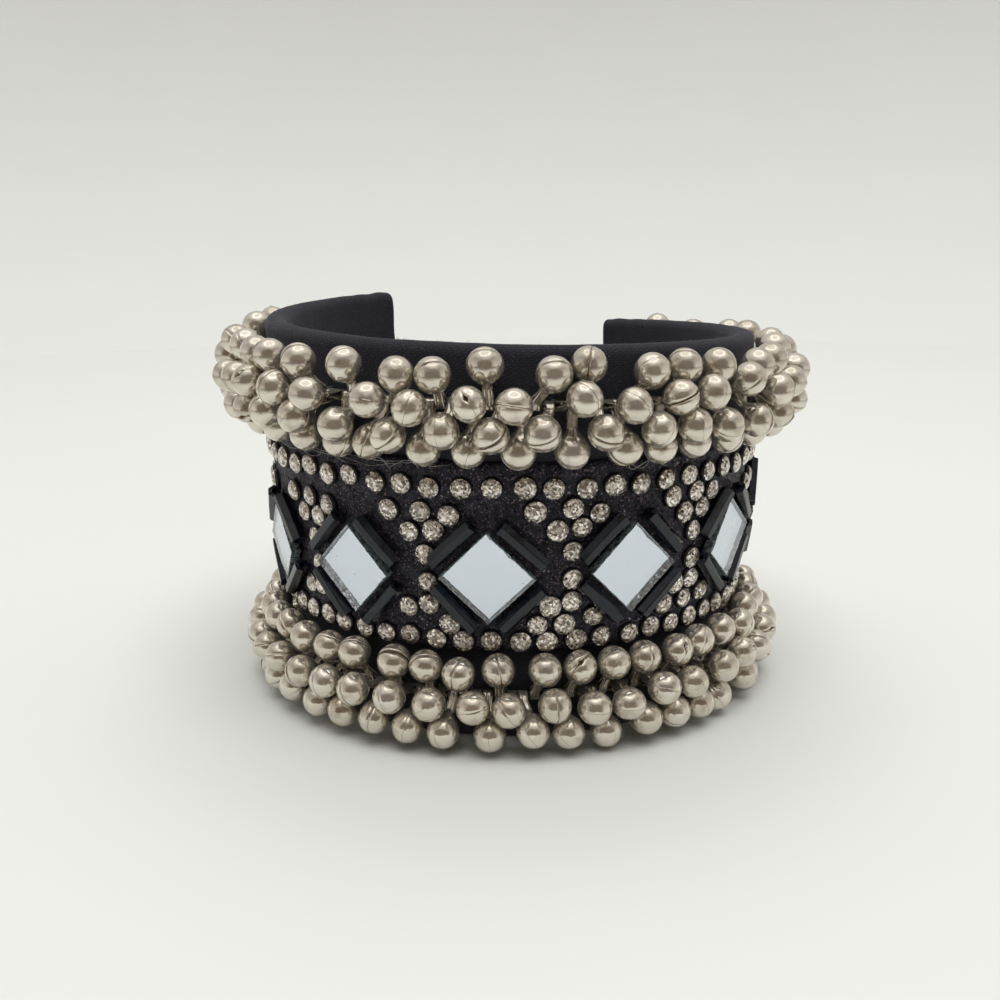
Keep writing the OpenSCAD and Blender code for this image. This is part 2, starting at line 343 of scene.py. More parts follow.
@dataclass(frozen=True)
class TwillCotton(Finish):
    """Black cotton twill, woven and brushed: matt, with fine slanting ribs and a few pale flecks."""

    label: str = "black cotton twill, brushed"
    deep: str = "#212128"
    rib: str = "#33333b"
    fleck: str = "#605f66"
    sheen: str = "#9a9aa6"
    rib_pitch: float = 0.38  # real ribs are 0.25 apart, too fine to show in the picture
    rib_slant: float = 58.0
    yarn_pitch: float = 0.3
    tuft: float = 0.16
    worn_patch: float = 3.5
    raised: Pair = (-0.15, 0.6)  # product of rib, yarn and wear, from the deep tone to the rib's
    fluffy: Pair = (0.62, 0.8)  # height of the tufts at which fluff begins and is full
    fluff: float = 0.6  # how much full fluff hides
    reliefs: tuple[float, float, float, float] = (0.009, 0.008, 0.03, 0.12)  # of ribs, yarns, fluff and wear

    def paint(self, tree: NodeTree, surface: Node) -> Relief:
        """Sets up ribs, yarns, fluff and sheen.

        Args:
            tree: the material's node tree.
            surface: its Principled BSDF.

        Returns:
            Its bumps.
        """
        cloth = add_node(tree, "Attribute", {}, "Vector", attribute_name="cloth")
        slant = {"Vector": cloth, "Rotation": (0, 0, math.radians(self.rib_slant))}
        slanted = add_node(tree, "Mapping", slant)
        bands = {"Vector": slanted, "Scale": WAVE_PERIOD / self.rib_pitch, "Distortion": 1.4, "Detail": 1.0}
        rib = add_node(tree, "TexWave", bands, "Fac")
        threads = {"Vector": cloth, "Scale": WAVE_PERIOD / self.yarn_pitch, "Distortion": 0.8}
        yarn = add_node(tree, "TexWave", threads, "Fac", bands_direction="Y")
        worn = add_node(tree, "TexNoise", {"Vector": cloth, "Scale": 1 / self.worn_patch, "Detail": 4})
        tuft = add_node(tree, "TexNoise", {"Vector": cloth, "Scale": 1 / self.tuft, "Detail": 1})
        fuzz = {0: tuft, 1: self.fluffy[0], 2: self.fluffy[1], 4: self.fluff}
        fluff = add_node(tree, "MapRange", fuzz, **SMOOTH)
        cross = add_node(tree, "Math", {0: rib, 1: yarn}, operation="MULTIPLY")
        shade = add_node(tree, "Math", {0: cross, 1: worn}, operation="MULTIPLY")
        share = add_node(tree, "MapRange", {0: shade, 1: self.raised[0], 2: self.raised[1]}, **SMOOTH)
        woven = add_node(tree, "Mix", {0: share, 6: linear(self.deep), 7: linear(self.rib)}, **COLOUR)
        flecked = add_node(tree, "Mix", {0: fluff, 6: woven, 7: linear(self.fleck)}, **COLOUR)
        cotton = {"Base Color": flecked, "Roughness": 0.9, "Specular IOR Level": 0.3, "Sheen Weight": 0.2}
        feed(tree, surface, cotton | {"Sheen Roughness": 0.5, "Sheen Tint": linear(self.sheen)})
        return list(zip((rib, yarn, fluff, worn), self.reliefs))


@dataclass(frozen=True)
class GlitterGround(Finish):
    """Glitter brushed on in black-brown glue: an uneven dark crust with dull plum-brown specks in it."""

    label: str = "glitter glue, brushed on"
    deep: str = "#0f0f17"
    crust: str = "#272937"
    fleck: str = "#6a5963"
    dust: str = "#6c626a"
    speck: float = 0.16
    clot: float = 1.1
    dust_patch: float = 0.35
    clotted: Pair = (0.35, 0.72)  # height of the clots, from the deep tone to the crust's
    lit: Pair = (0.84, 0.95)  # chance past which a speck begins to show and shows in full
    dusty: Pair = (0.62, 0.8)  # height of the dust at which it begins and is full
    dusted: float = 0.6  # how much full dust hides
    gloss: Pair = (0.2, 0.9)  # chance from which a speck gets glossier and up to which it does
    rough: Pair = (0.75, 0.4)  # of the dullest specks and of the glossiest
    flake_metal: float = 0.5  # how metallic a speck that shows is
    reliefs: Pair = (0.16, 0.05)  # of the clots and of the specks

    def paint(self, tree: NodeTree, surface: Node) -> Relief:
        """Sets up the crust, its specks and their gloss.

        Args:
            tree: the material's node tree.
            surface: its Principled BSDF.

        Returns:
            Its bumps.
        """
        where = add_node(tree, "TexCoord", {}, "Object")
        cell = add_node(tree, "TexVoronoi", {"Vector": where, "Scale": per_metre(self.speck)}, "Color")
        chance = add_node(tree, "SeparateColor", {0: cell}).node.outputs
        patch = add_node(tree, "TexNoise", {"Vector": where, "Scale": per_metre(self.clot), "Detail": 5})
        dusting = {"Vector": where, "Scale": per_metre(self.dust_patch), "Detail": 3}
        dusty = add_node(tree, "TexNoise", dusting)
        spans = ((patch, self.clotted, 1), (chance[0], self.lit, 1), (dusty, self.dusty, self.dusted))
        tones = (self.crust, self.fleck, self.dust)
        colour: object = linear(self.deep)
        shares = []
        for (height, (begins, full), most), tone in zip(spans, tones):
            shares.append(add_node(tree, "MapRange", {0: height, 1: begins, 2: full, 4: most}, **SMOOTH))
            colour = add_node(tree, "Mix", {0: shares[-1], 6: colour, 7: linear(tone)}, **COLOUR)
        gloss = {0: chance[1], 1: self.gloss[0], 2: self.gloss[1], 3: self.rough[0], 4: self.rough[1]}
        rough = add_node(tree, "MapRange", gloss, **SMOOTH)
        metal = add_node(tree, "Math", {0: shares[1], 1: self.flake_metal}, operation="MULTIPLY")
        crusted = {"Base Color": colour, "Roughness": rough, "Metallic": metal}
        feed(tree, surface, crusted | {"IOR": 1.48, "Specular IOR Level": 0.3})
        return list(zip((patch, chance[2]), self.reliefs))


@dataclass(frozen=True)
class GlitterGrain(Finish):
    """Cut polyester glitter with a metal coat: tiny dark mirrors that each catch the light another way."""

    label: str = "glitter grains, metal coated"
    dark: str = "#0f0e13"
    light: str = "#8f8189"
    pale: Pair = (0.62, 1.05)  # tone past which a grain turns pale and would be so in full

    def paint(self, tree: NodeTree, surface: Node) -> Relief:
        """Sets up each grain's own tone.

        Args:
            tree: the material's node tree.
            surface: its Principled BSDF.

        Returns:
            No bumps.
        """
        tone = add_node(tree, "Attribute", {}, "Fac", attribute_name="tone")
        share = add_node(tree, "MapRange", {0: tone, 1: self.pale[0], 2: self.pale[1]}, **SMOOTH)
        coat = add_node(tree, "Mix", {0: share, 6: linear(self.dark), 7: linear(self.light)}, **COLOUR)
        feed(tree, surface, {"Base Color": coat, "Metallic": 1.0, "Roughness": 0.35})
        return []


@dataclass(frozen=True)
class NickelPlate(Finish):
    """Brass, stamped, nickel-plated and tumbled: warm pale silver, soft reflections, brown in the seams."""

    label: str = "nickel-plated brass, tumbled"
    warm: str = "#d0c9bb"
    pale: str = "#dcd6ca"
    tarnish: str = "#8a755a"
    metallic: float = 0.8
    polish: Pair = (0.1, 0.21)  # roughness where it isn't scuffed and where it is
    stain: float = 1.6
    stained: Pair = (0.5, 0.75)  # height of the stains at which tarnish begins and is full
    tarnished: float = 0.42  # how much full tarnish hides
    scuff: float = 0.28
    scuffed: Pair = (0.35, 0.75)  # height of the scuffs at which they begin and are full
    soil_rough: float = 0.15  # roughness that soil adds
    reliefs: Pair = (0.085, 0.006)  # of the stains' dents and of the scuffs

    def paint(self, tree: NodeTree, surface: Node) -> Relief:
        """Sets up the plate's tone, its tarnish and its scuffs.

        Args:
            tree: the material's node tree.
            surface: its Principled BSDF.

        Returns:
            Its bumps.
        """
        where = add_node(tree, "TexCoord", {}, "Object")
        tone = add_node(tree, "Attribute", {}, "Fac", attribute_name="tone")
        soil = add_node(tree, "Attribute", {}, "Fac", attribute_name="soil")
        patch = add_node(tree, "TexNoise", {"Vector": where, "Scale": per_metre(self.stain), "Detail": 4})
        scuff = add_node(tree, "TexNoise", {"Vector": where, "Scale": per_metre(self.scuff), "Detail": 3})
        plate = add_node(tree, "Mix", {0: tone, 6: linear(self.warm), 7: linear(self.pale)}, **COLOUR)
        dulling = {0: patch, 1: self.stained[0], 2: self.stained[1], 4: self.tarnished}
        dull = add_node(tree, "MapRange", dulling, **SMOOTH)
        soiled = {0: soil, 1: patch, 2: dull}
        share = add_node(tree, "Math", soiled, operation="MULTIPLY_ADD", use_clamp=True)
        colour = add_node(tree, "Mix", {0: share, 6: plate, 7: linear(self.tarnish)}, **COLOUR)
        gloss = {0: scuff, 1: self.scuffed[0], 2: self.scuffed[1], 3: self.polish[0], 4: self.polish[1]}
        polish = add_node(tree, "MapRange", gloss, **SMOOTH)
        rough = add_node(tree, "Math", {0: soil, 1: self.soil_rough, 2: polish}, operation="MULTIPLY_ADD")
        feed(tree, surface, {"Base Color": colour, "Metallic": self.metallic, "Roughness": rough})
        return list(zip((patch, scuff), self.reliefs))


@dataclass(frozen=True)
class FoiledGlass(Finish):
    """Lead glass pressed into facets over foil: splinters of dark painted shade and bright painted glints on
    the foil's dull tone, under a hard gloss.
    """

    label: str = "lead glass, pressed and foiled, painted glints"
    # dark is painted shade, dull the foil's own tone, bright painted glints
    dark: str = "#574f45"
    dull: str = "#b8ae9f"
    bright: str = "#fffaf2"
    splinter: float = 0.27  # width of the pieces that the facets break the foil's image into
    scatter: float = 0.9  # how far the pieces face away from the facet, 2 being all ways
    own_tone: float = 0.25  # how much the stone's own tone adds to each splinter's
    dull_span: Pair = (0.1, 0.55)  # tones from dark to dull
    bright_span: Pair = (0.55, 1.1)  # and from dull to bright

    def paint(self, tree: NodeTree, surface: Node) -> Relief:
        """Sets up the foil's splinters, each with a painted tone and way of facing, and the gloss over them.

        Args:
            tree: the material's node tree.
            surface: its Principled BSDF.

        Returns:
            No bumps.
        """
        where = add_node(tree, "TexCoord", {}, "Object")
        tone = add_node(tree, "Attribute", {}, "Fac", attribute_name="tone")
        piece = add_node(tree, "TexVoronoi", {"Vector": where, "Scale": per_metre(self.splinter)}, "Color")
        chance = add_node(tree, "SeparateColor", {0: piece})
        light = add_node(tree, "Math", {0: tone, 1: self.own_tone, 2: chance}, operation="MULTIPLY_ADD")
        # The splinters' tones run from painted shade over the foil's dull tone to painted glints.
        foil: object = linear(self.dark)
        for (begins, full), shade in ((self.dull_span, self.dull), (self.bright_span, self.bright)):
            share = add_node(tree, "MapRange", {0: light, 1: begins, 2: full}, **SMOOTH)
            foil = add_node(tree, "Mix", {0: share, 6: foil, 7: linear(shade)}, **COLOUR)
        tilt = add_node(tree, "VectorMath", {0: piece, 1: (0.5, 0.5, 0.5)}, operation="SUBTRACT")
        facet = add_node(tree, "NewGeometry", {}, "Normal")
        leaning = {0: tilt, 1: (self.scatter,) * 3, 2: facet}
        leant = add_node(tree, "VectorMath", leaning, operation="MULTIPLY_ADD")
        facing = add_node(tree, "VectorMath", {0: leant}, operation="NORMALIZE")
        foiled = {"Base Color": foil, "Metallic": 0.75, "Roughness": 0.22, "Normal": facing}
        feed(tree, surface, foiled | {"Coat Weight": 1.0, "Coat Roughness": 0.04, "Coat IOR": 1.58})
        return []


@dataclass(frozen=True)
class MottledFinish(Finish):
    """A finish whose colour, gloss and height go together from one state to another in soft patches."""

    plain: str = "#808080"  # colour outside the patches
    marked: str = "#808080"  # colour in their middle
    patch: float = 1.0  # their width
    detail: float = 3.0
    begins: float = 0.3  # height of the mottle, from 0 to 1, at which a patch begins
    full: float = 0.7  # and at which it is full
    rough: Pair = (0.5, 0.5)  # outside the patches and in their middle
    metallic: float = 0.0
    clear: float = 0.0  # share of the light that goes through
    bends: float = 1.5  # its IOR
    shine: float = 0.5
    sheen: float = 0.0
    raised: float = 0.0  # height of the mottle in millimetres

    def paint(self, tree: NodeTree, surface: Node) -> Relief:
        """Sets up the patches, each input of the surface as a constant where both states share it.

        Args:
            tree: the material's node tree.
            surface: its Principled BSDF.

        Returns:
            Its bumps.
        """
        where = add_node(tree, "TexCoord", {}, "Object")
        patches = {"Vector": where, "Scale": per_metre(self.patch), "Detail": self.detail}
        mottle = add_node(tree, "TexNoise", patches)
        span = {0: mottle, 1: self.begins, 2: self.full}
        colour: object = linear(self.plain)
        if self.marked != self.plain:
            share = add_node(tree, "MapRange", span, **SMOOTH)
            tones = {0: share, 6: linear(self.plain), 7: linear(self.marked)}
            colour = add_node(tree, "Mix", tones, **COLOUR)
        rough: object = self.rough[0]
        if self.rough[1] != self.rough[0]:
            gloss = span | {3: self.rough[0], 4: self.rough[1]}
            rough = add_node(tree, "MapRange", gloss, **SMOOTH)
        looks = {"Base Color": colour, "Roughness": rough, "Metallic": self.metallic, "IOR": self.bends}
        looks |= {"Transmission Weight": self.clear, "Specular IOR Level": self.shine}
        feed(tree, surface, looks | {"Sheen Weight": self.sheen})
        return [(mottle, self.raised)] if self.raised else []


@dataclass(frozen=True)
class SeamShadow(MottledFinish):
    """Bare brass inside the bells, browned by age and polish dust, and darker still as painted shade of the
    hollow: dark and matt.
    """

    label: str = "browned brass in the seams, painted shade"
    # plain and marked are partly the brass's own brown, partly painted shade of the dark hollow behind the
    # seam
    plain: str = "#2c2117"
    marked: str = "#6b573f"
    patch: float = 0.3
    rough: Pair = (0.7, 0.7)
    metallic: float = 0.4


@dataclass(frozen=True)
class PlateGlass(MottledFinish):
    """Float glass, polished: clear and nearly colourless, with a little dust on it."""

    label: str = "float glass, polished"
    plain: str = "#f5f8f9"
    marked: str = "#f5f8f9"
    patch: float = 0.5
    detail: float = 5.0
    begins: float = 0.6
    full: float = 0.75
    rough: Pair = (0.0, 0.12)
    clear: float = 1.0
    bends: float = 1.52


@dataclass(frozen=True)
class CutGlassEdge(MottledFinish):
    """Float glass where it was scored and snapped: grey-green, rippled and half clear."""

    label: str = "float glass, snapped edge"
    plain: str = "#38413f"
    marked: str = "#8b9a98"
    patch: float = 0.5
    detail: float = 4.0
    rough: Pair = (0.12, 0.5)
    clear: float = 0.6
    bends: float = 1.52
    raised: float = 0.08


@dataclass(frozen=True)
class SilverBack(MottledFinish):
    """Silver laid behind the mirrors' glass: a cool, near-perfect mirror with a few foxed specks."""

    label: str = "mirror silver behind glass"
    plain: str = "#dbe0e9"
    marked: str = "#5d6468"
    patch: float = 0.45
    detail: float = 4.0
    begins: float = 0.7
    full: float = 0.78
    rough: Pair = (0.05, 0.05)
    metallic: float = 1.0


@dataclass(frozen=True)
class BlackResin(MottledFinish):
    """Black epoxy dabbed round each stone: glossy and domed where it set."""

    label: str = "black epoxy, set"
    plain: str = "#09080b"
    marked: str = "#1b181d"
    patch: float = 0.6
    rough: Pair = (0.25, 0.5)
    bends: float = 1.55
    raised: float = 0.06


@dataclass(frozen=True)
class BugleGlass(MottledFinish):
    """Black glass cane, drawn and chopped: near black, glossy on its flats, with faint ripples along it."""

    label: str = "black glass cane, drawn"
    plain: str = "#0b0e14"
    marked: str = "#1c212b"
    patch: float = 1.4
    detail: float = 4.0
    rough: Pair = (0.07, 0.2)
    bends: float = 1.54
    shine: float = 0.33
    raised: float = 0.04


@dataclass(frozen=True)
class SewingYarn(MottledFinish):
    """Black polyester sewing thread, twisted from two plies: fine shiny filaments over a dark core."""

    label: str = "polyester thread, two-ply"
    plain: str = "#1b1a1f"
    marked: str = "#46454c"
    patch: float = 0.12
    rough: Pair = (0.55, 0.55)
    sheen: float = 0.2
    raised: float = 0.04


@dataclass(frozen=True)
class LooseCotton(MottledFinish):
    """Loose cotton fibres, carded short: thin, matt and pale."""

    label: str = "loose cotton fibre"
    plain: str = "#6b6a66"
    marked: str = "#b9b8b2"
    patch: float = 2.5
    rough: Pair = (0.6, 0.6)


@dataclass(frozen=True)
class PaperInGloss(Finish):
    """The studio's paper as polished metal mirrors it: pale near the cuff, then painted shade, darker far
    off and dim towards the room in front.
    """

    label: str = "matt studio paper in gloss, painted shade"
    # near is the paper's own tone; far and dim are painted shade
    near: str = "#e2e5e3"
    far: str = "#a39e99"
    dim: str = "#5a4f46"
    fade: Pair = (60.0, 330.0)  # distances from the middle at which the painted shade starts and ends fading in
    shade: Pair = (70.0, 210.0)  # the same for the painted shade towards the dim room in front

    def paint(self, tree: NodeTree, surface: Node) -> Relief:
        """Sets up the two fades into painted shade.

        Args:
            tree: the material's node tree.
            surface: its Principled BSDF.

        Returns:
            No bumps.
        """
        where = add_node(tree, "TexCoord", {}, "Object")
        reach = add_node(tree, "VectorMath", {0: where}, "Value", operation="LENGTH")
        ahead = add_node(tree, "SeparateXYZ", {0: where}, "Y")
        colour: object = linear(self.near)
        fades = ((reach, self.fade, METRES, self.far), (ahead, self.shade, -METRES, self.dim))
        for way, (begins, full), scale, tone in fades:
            share = add_node(tree, "MapRange", {0: way, 1: begins * scale, 2: full * scale}, **SMOOTH)
            colour = add_node(tree, "Mix", {0: share, 6: colour, 7: linear(tone)}, **COLOUR)
        feed(tree, surface, {"Base Color": colour, "Roughness": 0.9, "Specular IOR Level": 0.2})
        return []


@dataclass(frozen=True)
class StudioPaper(MottledFinish):
    """Matt seamless paper that the studio's floor and wall are made of: pale, neutral, no gloss."""

    label: str = "matt studio paper"
    plain: str = "#d9dcda"
    marked: str = "#dadddb"
    patch: float = 60.0
    rough: Pair = (0.9, 0.9)
    shine: float = 0.2


@dataclass(frozen=True)
class CuffForm:
    """The cuff's outer surface, an open oval that widens upwards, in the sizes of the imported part."""

    shift_y: float
    top_w: float = 65.6
    top_d: float = 66.0
    base_w: float = 58.4
    base_d: float = 57.6
    height: float = 48.2
    wall: float = 2.6
    left_end: float = -143.5
    right_end: float = 150.0
    rim_rise: float = 2.4
    rise_angle: float = 150.0  # where rim_rise is measured
    table_end: float = 160.0  # angle past both arms' tips, where the tables of lengths end
    table_rows: int = 1281

    @classmethod
    def from_frame(cls) -> "CuffForm":
        """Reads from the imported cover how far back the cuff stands.

        Returns:
            The cuff's form.
        """
        loose = cls(shift_y=0.0)
        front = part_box("cuff_band")[0].y / METRES
        return cls(shift_y=front + loose.half_d(loose.height - loose.wall / 2))

    def half_w(self, z: Values) -> Values:
        """Half the outer width at height z."""
        return (self.base_w + (self.top_w - self.base_w) * z / self.height) / 2

    def half_d(self, z: Values) -> Values:
        """Half the outer depth at height z."""
        return (self.base_d + (self.top_d - self.base_d) * z / self.height) / 2

    def level_out(self, angle: Array, z: Array) -> Array:
        """Outward directions, level with the floor.

        Args:
            angle: angles round the cuff.
            z: heights.

        Returns:
            One unit vector for each.
        """
        t = np.radians(angle)
        across, deep = np.broadcast_arrays(self.half_d(z) * np.sin(t), -self.half_w(z) * np.cos(t))
        return unit(np.stack([across, deep, np.zeros_like(across)], -1))

    def lean(self, angle: Array, z: Array) -> Array:
        """How far the surface leans outward.

        Args:
            angle: angles round the cuff.
            z: heights.

        Returns:
            Angles in radians, each in an array of its own, so that they multiply vectors.
        """
        t = np.radians(angle)
        wider, deeper = (self.top_w - self.base_w) / 2, (self.top_d - self.base_d) / 2
        level = self.level_out(angle, z)
        grown = level[..., 0] * wider * np.sin(t) - level[..., 1] * deeper * np.cos(t)
        return np.arctan(grown / self.height)[..., None]

    def at(self, angle: Array, z: Array, out: Values) -> Array:
        """Points near the cuff's surface.

        Args:
            angle: angles round the cuff.
            z: heights before the rim's slope.
            out: distances out from the surface.

        Returns:
            One point for each.
        """
        angle, z, out = np.broadcast_arrays(np.asarray(angle, float), z, out)
        t = np.radians(angle)
        sloped = z - self.rim_rise * angle / self.rise_angle * (z / self.height) ** 2
        across, deep = self.half_w(z) * np.sin(t), self.shift_y - self.half_d(z) * np.cos(t)
        return np.stack([across, deep, sloped], -1) + out[..., None] * self.level_out(angle, z)

    def axes(self, angle: Array, z: Array) -> tuple[Array, Array, Array]:
        """Directions square to the surface, to the right along it and up it.

        Args:
            angle: angles round the cuff.
            z: heights.

        Returns:
            The three directions, one row each for every angle.
        """
        level = self.level_out(angle, z)
        lean = self.lean(angle, z)
        out = np.cos(lean) * level - np.sin(lean) * np.array([0, 0, 1])
        right = np.stack([-level[..., 1], level[..., 0], np.zeros_like(level[..., 0])], -1)
        return out, right, np.cross(out, right)

    def angle_at(self, length: Values, z: float, out: float) -> Values:
        """Angles at some lengths to the right of the front's middle, measured at height z and so far out."""
        angles, lengths = self.lengths(z, out)
        return np.interp(length, lengths, angles)

    def angle_of(self, points: Array, z: float) -> Array:
        """Angles round the cuff at which points lie, by its width and depth at height z."""
        across = points[:, 0] / self.half_w(z)
        return np.degrees(np.arctan2(across, (self.shift_y - points[:, 1]) / self.half_d(z)))

    def lengths(self, z: float, out: float) -> tuple[Array, Array]:
        """Table of lengths along the cuff.

        Args:
            z: the height that they are measured at.
            out: how far out they are measured.

        Returns:
            Angles, and the length from the middle of the front to each.
        """
        angles = np.linspace(-self.table_end, self.table_end, self.table_rows)
        flat = self.at(angles, z, out)[:, :2]
        steps = np.linalg.norm(np.diff(flat, axis=0), axis=1)
        total = np.concatenate([[0], np.cumsum(steps)])
        return angles, total - np.interp(0, angles, total)


@dataclass
class Cover:
    """The cloth-covered wall of the cuff, with its folded rims and arm tips."""

    form: CuffForm
    thread_heights: Pair
    tip_round: float = 0.6
    tip_bend: Pair = (90.0, 12.0)  # degrees of the tips' rounding, at their ends and where it stops
    tip_sections: int = 6
    foot_angle: float = 60.0
    foot_points: int = 6
    rim_points: int = 9
    columns: int = 300
    rows: int = 52
    mean_r: float = 32.0  # the cuff's mean radius, which turns angles to lengths
    fold: float = 0.13  # height of the slanting folds near the arms' tips
    fold_fade: float = 4.5  # how far from a tip they have lost two thirds of it
    pull: float = 0.16  # how deep the stitches pull the cloth in
    pull_wide: float = 0.8
    pull_waves: float = 70.0  # how often the pull tightens round the whole cuff
    foot_flat: Pair = (0.9, 2.2)  # heights at which the cloth's creases begin and are full

    def outline(self, inset: float) -> Array:
        """Half of the wall's section, from the foot up the outer face to the top of the rim.

        Args:
            inset: how far the section is drawn in, towards its middle line.

        Returns:
            Rows of distance from the middle line and height.
        """
        r = self.form.wall / 2 - inset
        low = self.form.wall / 2 * math.sin(math.radians(self.foot_angle))
        top = self.form.height - self.form.wall / 2
        foot = np.radians(np.linspace(self.foot_angle, 0, self.foot_points)[:-1])
        rim = np.radians(np.linspace(0, 90, self.rim_points))
        sole = low - r * np.sin(foot)
        heights = np.linspace(low, top, self.rows + 1)[:-1]
        across = np.concatenate([[0], r * np.cos(foot), np.full(self.rows, r), r * np.cos(rim)])
        up = np.concatenate([sole[:1], sole, heights, top + r * np.sin(rim)])
        return np.stack([across, up], 1)

    def section(self, inset: float) -> Array:
        """The wall's section, up its outside and down its inside: rows of distance out and height."""
        half = self.outline(inset)
        return np.concatenate([half, half[-2:0:-1] * [-1, 1]]) - [self.form.wall / 2, 0]

    def stations(self) -> tuple[Array, Array]:
        """Angles of the wall's sections and how far each is drawn in.

        Returns:
            The angles and the insets.
        """
        turn = math.degrees(self.tip_round / self.form.half_w(self.form.height / 2))
        bend = np.radians(np.linspace(*self.tip_bend, self.tip_sections))
        near, inset = turn * (1 - np.sin(bend)), self.tip_round * (1 - np.cos(bend))
        middle = np.linspace(self.form.left_end + turn, self.form.right_end - turn, self.columns)
        angles = np.concatenate([self.form.left_end + near, middle, (self.form.right_end - near)[::-1]])
        return angles, np.concatenate([inset, np.zeros(self.columns), inset[::-1]])

    def creases(self, points: Array, angles: Array, z: Array, out: Array) -> Array:
        """How far the cloth stands proud of its plain shape.

        Args:
            points: places on the plain shape.
            angles: the angle of each.
            z: the height of each.
            out: the distance out of each.

        Returns:
            Heights in millimetres.
        """
        upright = points * [1, 1, 0.45]  # which draws the slack out upwards
        slack = wander(upright, height=0.09, size=8, seed=1) + wander(points, height=0.03, size=2.4, seed=2)
        from_tip = np.minimum(angles - self.form.left_end, self.form.right_end - angles)
        to_tip = np.radians(from_tip) * self.mean_r
        phase = 0.99 * z + 1.87 * to_tip + wander(points, height=2, size=9, seed=3)
        near_tip = self.fold * np.exp(-to_tip / self.fold_fade) * np.sin(phase)
        pull = sum(np.exp(-(((z - height) / self.pull_wide) ** 2)) for height in self.thread_heights)
        outside = out > -0.2
        tight = 0.6 + 0.4 * np.sin(np.radians(angles) * self.pull_waves)
        return (slack + near_tip - self.pull * pull * outside * tight) * eased(*self.foot_flat, z)

    def end_faces(self, first: int, count: int) -> Faces:
        """Faces that close the wall at a section, from its first point's number and its count of points."""
        low, high = first + np.arange(1, count // 2), first + count - np.arange(1, count // 2)
        return [[first, first + 1, first + count - 1], *np.stack([low, low + 1, high - 1, high], 1).tolist()]

    def build(self, cloth: Finish) -> Object:
        """Makes the cover.

        Args:
            cloth: its finish.

        Returns:
            The piece.
        """
        angles, insets = self.stations()
        sections = np.array([self.section(inset) for inset in insets])
        count = sections.shape[1]
        out, z = sections[..., 0].ravel(), sections[..., 1].ravel()
        angle = np.repeat(angles, count)
        plain = self.form.at(angle, z, out)
        ahead, behind = np.roll(sections, -1, axis=1), np.roll(sections, 1, axis=1)
        tangent = (ahead - behind).reshape(-1, 2)
        away = unit(np.stack([tangent[:, 1], -tangent[:, 0]], 1))
        proud = self.creases(plain, angle, z, out)
        points = self.form.at(angle, z + proud * away[:, 1], out + proud * away[:, 0])
        steps = np.linalg.norm(np.diff(self.section(0), axis=0), axis=1)
        down = np.concatenate([[0], np.cumsum(steps)])
        along = np.interp(angles, *self.form.lengths(self.form.height / 2, 0))
        places = [np.repeat(along, count), np.tile(down, len(angles)), np.zeros(len(angle))]
        cloth_place = np.stack(places, 1)
        faces = grid_faces(len(angles), count)[:, ::-1].tolist()
        faces += [face[::-1] for face in self.end_faces(0, count)]
        faces += self.end_faces((len(angles) - 1) * count, count)
        plan = MeshPlan()
        plan.add(points, faces, cloth=cloth_place)
        return plan.make("cover", [cloth], Slot.COVER, ["cuff_band"])


@dataclass
class RimNap:
    """The cover's nap: short fibres standing off the upper rim and the faces just below it."""

    form: CuffForm
    count: int = 5200
    short: float = 0.12
    long: float = 0.5
    thick: float = 0.019
    sunk: float = 0.05  # how deep their feet are in the cloth
    unruly: float = 0.75  # how far they stray from standing straight
    least_rise: float = 0.2
    end_gap: float = 0.5  # degrees from the arms' tips to the first of them
    outer_reach: float = 5.0  # how far down the outer face they go on
    inner_reach: float = 16.0  # and down the inner one
    seed: int = 58

    def build(self, fibre: Finish) -> Object:
        """Makes the fibres, each a thin closed spike rooted in the cloth.

        Args:
            fibre: their finish.

        Returns:
            The piece.
        """
        draw = np.random.default_rng(self.seed)
        r = self.form.wall / 2
        ends = self.form.left_end + self.end_gap, self.form.right_end - self.end_gap
        angle = draw.uniform(*ends, self.count)
        # From 0 to 1 a place goes over the rim; below 0 it is on the outer face, above 1 on the inner one
        place = draw.uniform(-1, 2, self.count)
        turn = np.clip(place, 0, 1) * np.pi
        drop = np.where(place < 0, -place * self.outer_reach, np.maximum(place - 1, 0) * self.inner_reach)
        z = self.form.height - r + r * np.sin(turn) - drop
        out, right, up = self.form.axes(angle, z)
        away = np.cos(turn)[:, None] * out + np.sin(turn)[:, None] * up
        root = self.form.at(angle, z, r * np.cos(turn) - r) - self.sunk * away
        lie = unit(away + self.unruly * draw.normal(0, 1, (self.count, 3)))
        lie = unit(lie + np.maximum(self.least_rise - (lie * away).sum(1), 0)[:, None] * away)
        length = draw.uniform(self.short, self.long, self.count)[:, None]
        side = unit(np.cross(lie, right + 0.3 * up))
        plan = MeshPlan()
        plan.add(*spikes(root, self.thick, side, np.cross(lie, side), root + length * lie))
        return plan.make("rim_nap", [fibre], Slot.COVER)


